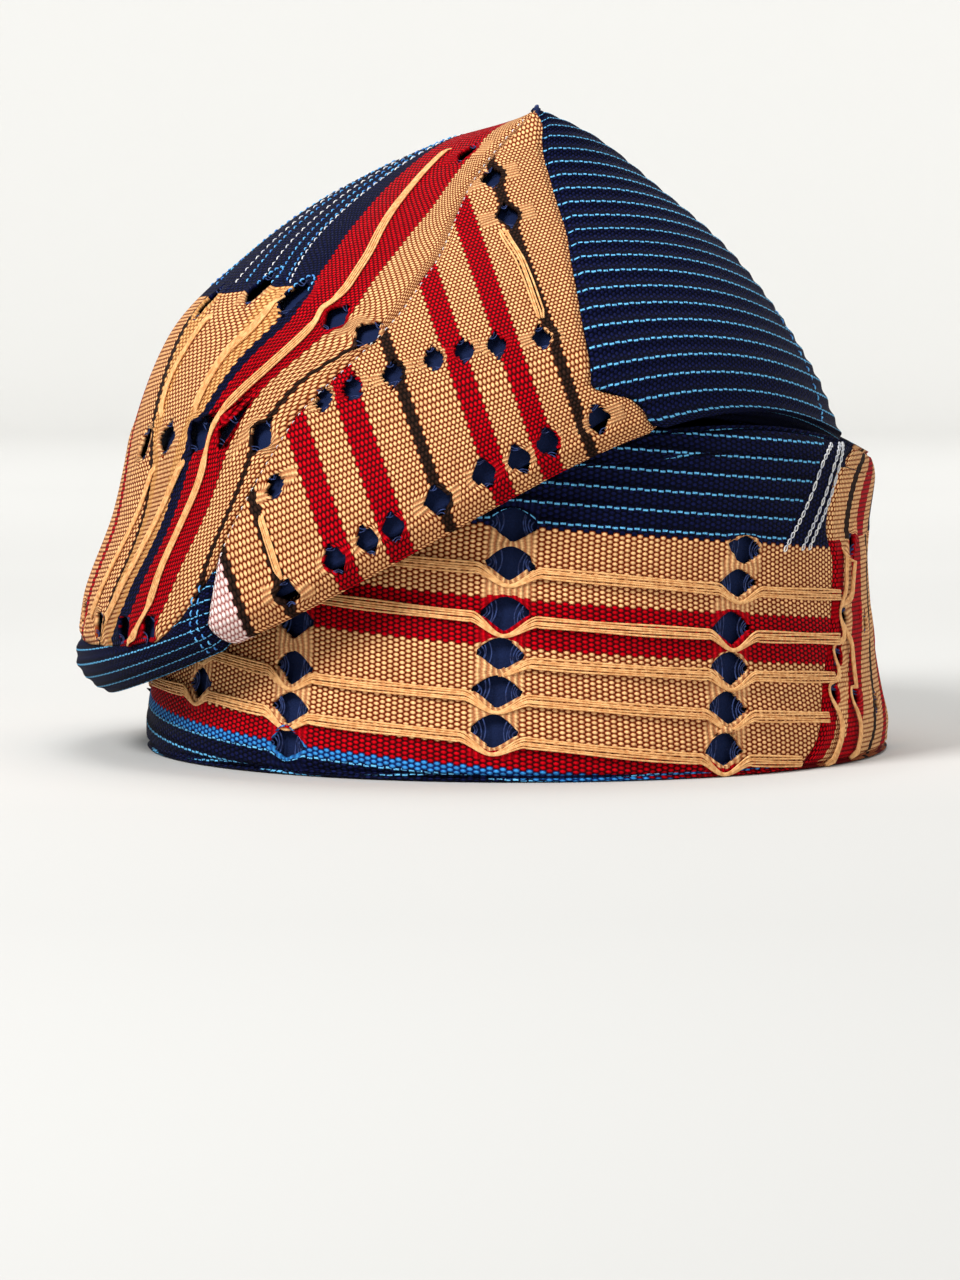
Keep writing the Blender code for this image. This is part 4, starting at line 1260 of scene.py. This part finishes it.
# %% [markdown]
# ## Frayed tips
#
# At the two tips of a hole the cut crossing threads hang over the gap as short navy arcs.

# %% Arcs over the tips of the holes
# Place along the hole, and how far the arc sags towards its middle.
ARCS = ((0.62, 0.17), (0.76, 0.11), (0.9, 0.14), (1.02, 0.1))


def tip_arcs(holes, seed, places=ARCS, radius=0.16):
    """Thin arcs from one edge of a hole to the other, near both tips. On an arc the way across
    runs from -1 to 1 times the opening there, and the arc sags by a parabola."""
    chance = np.random.default_rng(seed)
    t = np.linspace(-1.0, 1.0, 7)
    paths, normals = [], []
    for hole in holes:
        for tip in (-1.0, 1.0):
            for place, sag in places:
                middle = tip * hole["long"] * (place + chance.uniform(-0.05, 0.05))
                half = float(opening(hole, middle)) * 1.12 + 0.25
                slant = chance.uniform(-0.5, 0.5)
                along = middle - tip * hole["long"] * sag * (1.0 - t**2) + slant * t
                across = t * half
                depth = -0.15 - 0.5 * (1.0 - t**2)
                paths.append(hole["middle"] + along[:, None] * hole["thread"]
                             + across[:, None] * hole["sideways"] + depth[:, None] * hole["normal"])
                normals.append(np.broadcast_to(hole["normal"], (len(t), 3)))
    return tubes(np.array(paths), np.array(normals), radius)


for number, (panel, node) in enumerate((
    ("band_front", "band_front"), ("band_side", "band_side"), ("band_back", "band_side"),
    ("crown_front", "crown_front"), ("crown_left", "crown_left"),
)):
    few = (ARCS[2:], 0.12) if node.startswith("crown") else ()
    pieces[panel + "_arcs"] = thread_object(
        panel + "_arcs", node, [tip_arcs(panel_holes[panel], 7 + number, *few)], navy_thread)

# %% [markdown]
# ## Stitches
#
# Chain stitches close the strips at the right, dashed running stitches follow the seams and the
# navy ribs at the top left, and a cord closes the crest. A stitch is a short rod that dips at both
# ends; a link of a chain is a slim loop.

# %% Running stitches and chains
def running(sections, knots, length, gap, radius, lift=0.12):
    """Short rods along a route: as many as fit at length + gap, each raised by a half sine."""
    whole = route(sections, knots, 4)[2]
    count = int(max(2, round(whole / (length + gap))))
    fine = 12
    direction, row, _ = route(sections, knots, count * fine)
    part = int(round(fine * length / (length + gap)))
    direction, row = direction.reshape(count, fine)[:, :part], row.reshape(count, fine)[:, :part]
    lifted = (lift + radius) * np.sin(np.linspace(0.0, math.pi, part)) - 0.1
    normal = outwards(sections, direction, row)
    paths = surface(sections, direction, row) + lifted[None, :, None] * normal
    return tubes(paths, normal, radius)


def chain(sections, knots, link, half_width, radius, lift=0.25):
    """Links of a chain stitch: each is two rods that bow apart by a sine and meet at both ends."""
    whole = route(sections, knots, 4)[2]
    count = int(max(2, round(whole / link)))
    fine = 9
    direction, row, _ = route(sections, knots, count * fine)
    points, normal = surface(sections, direction, row), outwards(sections, direction, row)
    across = unit(np.cross(normal, unit(np.gradient(points, axis=0))))
    bow = np.tile(np.sin(np.linspace(0.0, math.pi, fine)) * half_width + 0.05, count)
    both = [points + sign * bow[:, None] * across + lift * normal for sign in (-1.0, 1.0)]
    paths = np.concatenate([side.reshape(count, fine, 3) for side in both])
    normals = np.concatenate([normal.reshape(count, fine, 3)] * 2)
    return tubes(paths, normals, radius)


def upright(direction, low, high, fan):
    """A route that runs up the gore and turns a little towards the back."""
    rows = np.linspace(low, high, 5)
    return [(direction + fan * (row - low), row) for row in rows]


CHAINS = [  # direction and height over the rim
    ((43.8, 48.0), (37.9, 60.0), (31.8, 71.0)),
    ((39.3, 48.0), (33.8, 60.0), (28.4, 71.0)),
    ((37.4, 48.0), (31.9, 60.0), (27.0, 71.0)),
]
pieces["side_chains"] = thread_object(
    "side_chains", "band_front",
    [chain(BAND_SECTIONS, band_route(k), 2.1, 0.42, 0.15) for k in CHAINS], white_thread)

CREST_CORD = 0.75  # radius of the cord along the crest, mm
steps = np.linspace(-1.0, 1.0, 60)
crest = np.stack([4.0 + 0.15 * np.sin(steps * 90.0), -58.0 * steps, 145.5 - 4.5 * (1.0 - steps)], axis=-1)
upwards = np.broadcast_to([0.0, 0.0, 1.0], crest.shape)
taper = np.cos(steps * 1.45) ** 0.3
pieces["crest_cord"] = thread_object(
    "crest_cord", "crown_front", [tubes(crest[None], upwards[None], CREST_CORD * taper)], navy_thread)
pieces["right_dashes"] = thread_object("right_dashes", "crown_right", [
    running(CROWN_SECTIONS, ((12.0, 7.7), (13.5, 7.2), (17.0, 6.0), (19.0, 4.9), (23.0, 3.6)), 1.5, 0.9, 0.17)
], blue_thread)
seam_rows = np.linspace(3.6, 11.4, 12)
pieces["seam_stitches"] = thread_object("seam_stitches", "crown_front", [
    running(CROWN_SECTIONS, [(float(curve(LEFT_SEAM)(r)) - 0.9, float(r)) for r in seam_rows], 0.9, 1.3, 0.1)
], white_thread)

# The navy cloth is sewn over the top of the first holes of its edge: half an oval over each.
OVER_WIDE, OVER_HIGH = 2.7, 0.3  # half the oval's width in degrees, and its height in rows
hole_edges = []
for hole in panel_holes["crown_left"]:
    if 8.2 < hole["row"] < 8.5 and hole["direction"] < 150.0:
        turn = np.linspace(0.15, math.pi - 0.15, 7)
        hole_edges.append([
            (hole["direction"] - OVER_WIDE * math.cos(a), hole["row"] + 0.02 + OVER_HIGH * math.sin(a))
            for a in turn])

pieces["left_dashes"] = thread_object("left_dashes", "crown_left", [
    running(CROWN_SECTIONS, upright(d, low, high, fan), 1.5, 0.9, 0.15)
    for d, low, high, fan in ((152.0, 8.6, 10.2, 12.0), (141.5, 8.65, 10.6, 12.0), (130.5, 8.5, 11.0, 11.0))
], white_thread)
pieces["left_blue"] = thread_object("left_blue", "crown_left", [
    running(CROWN_SECTIONS, upright(d, low, high, fan), 1.2, 0.8, 0.17)
    for d, low, high, fan in (
        (165.0, 8.6, 10.2, 12.0), (147.0, 8.6, 10.4, 12.0), (136.0, 8.6, 10.9, 12.0), (132.2, 8.55, 11.0, 11.0),
        (178.0, 8.6, 10.2, 12.0), (190.0, 8.7, 10.6, 12.0), (203.0, 8.7, 10.8, 12.0), (216.0, 8.7, 10.8, 12.0),
        (229.0, 8.7, 10.8, 10.0), (241.0, 8.7, 10.8, 8.0))
] + [
    running(CROWN_SECTIONS, edge, 1.1, 0.5, 0.2) for edge in hole_edges
] + [
    running(CROWN_SECTIONS, ((129.9, 4.75), (129.9, 3.74), (131.0, 3.1)), 1.3, 0.8, 0.19),
    running(CROWN_SECTIONS, ((131.2, 4.6), (131.3, 3.74), (132.6, 3.1)), 1.3, 0.8, 0.19),
], blue_thread)
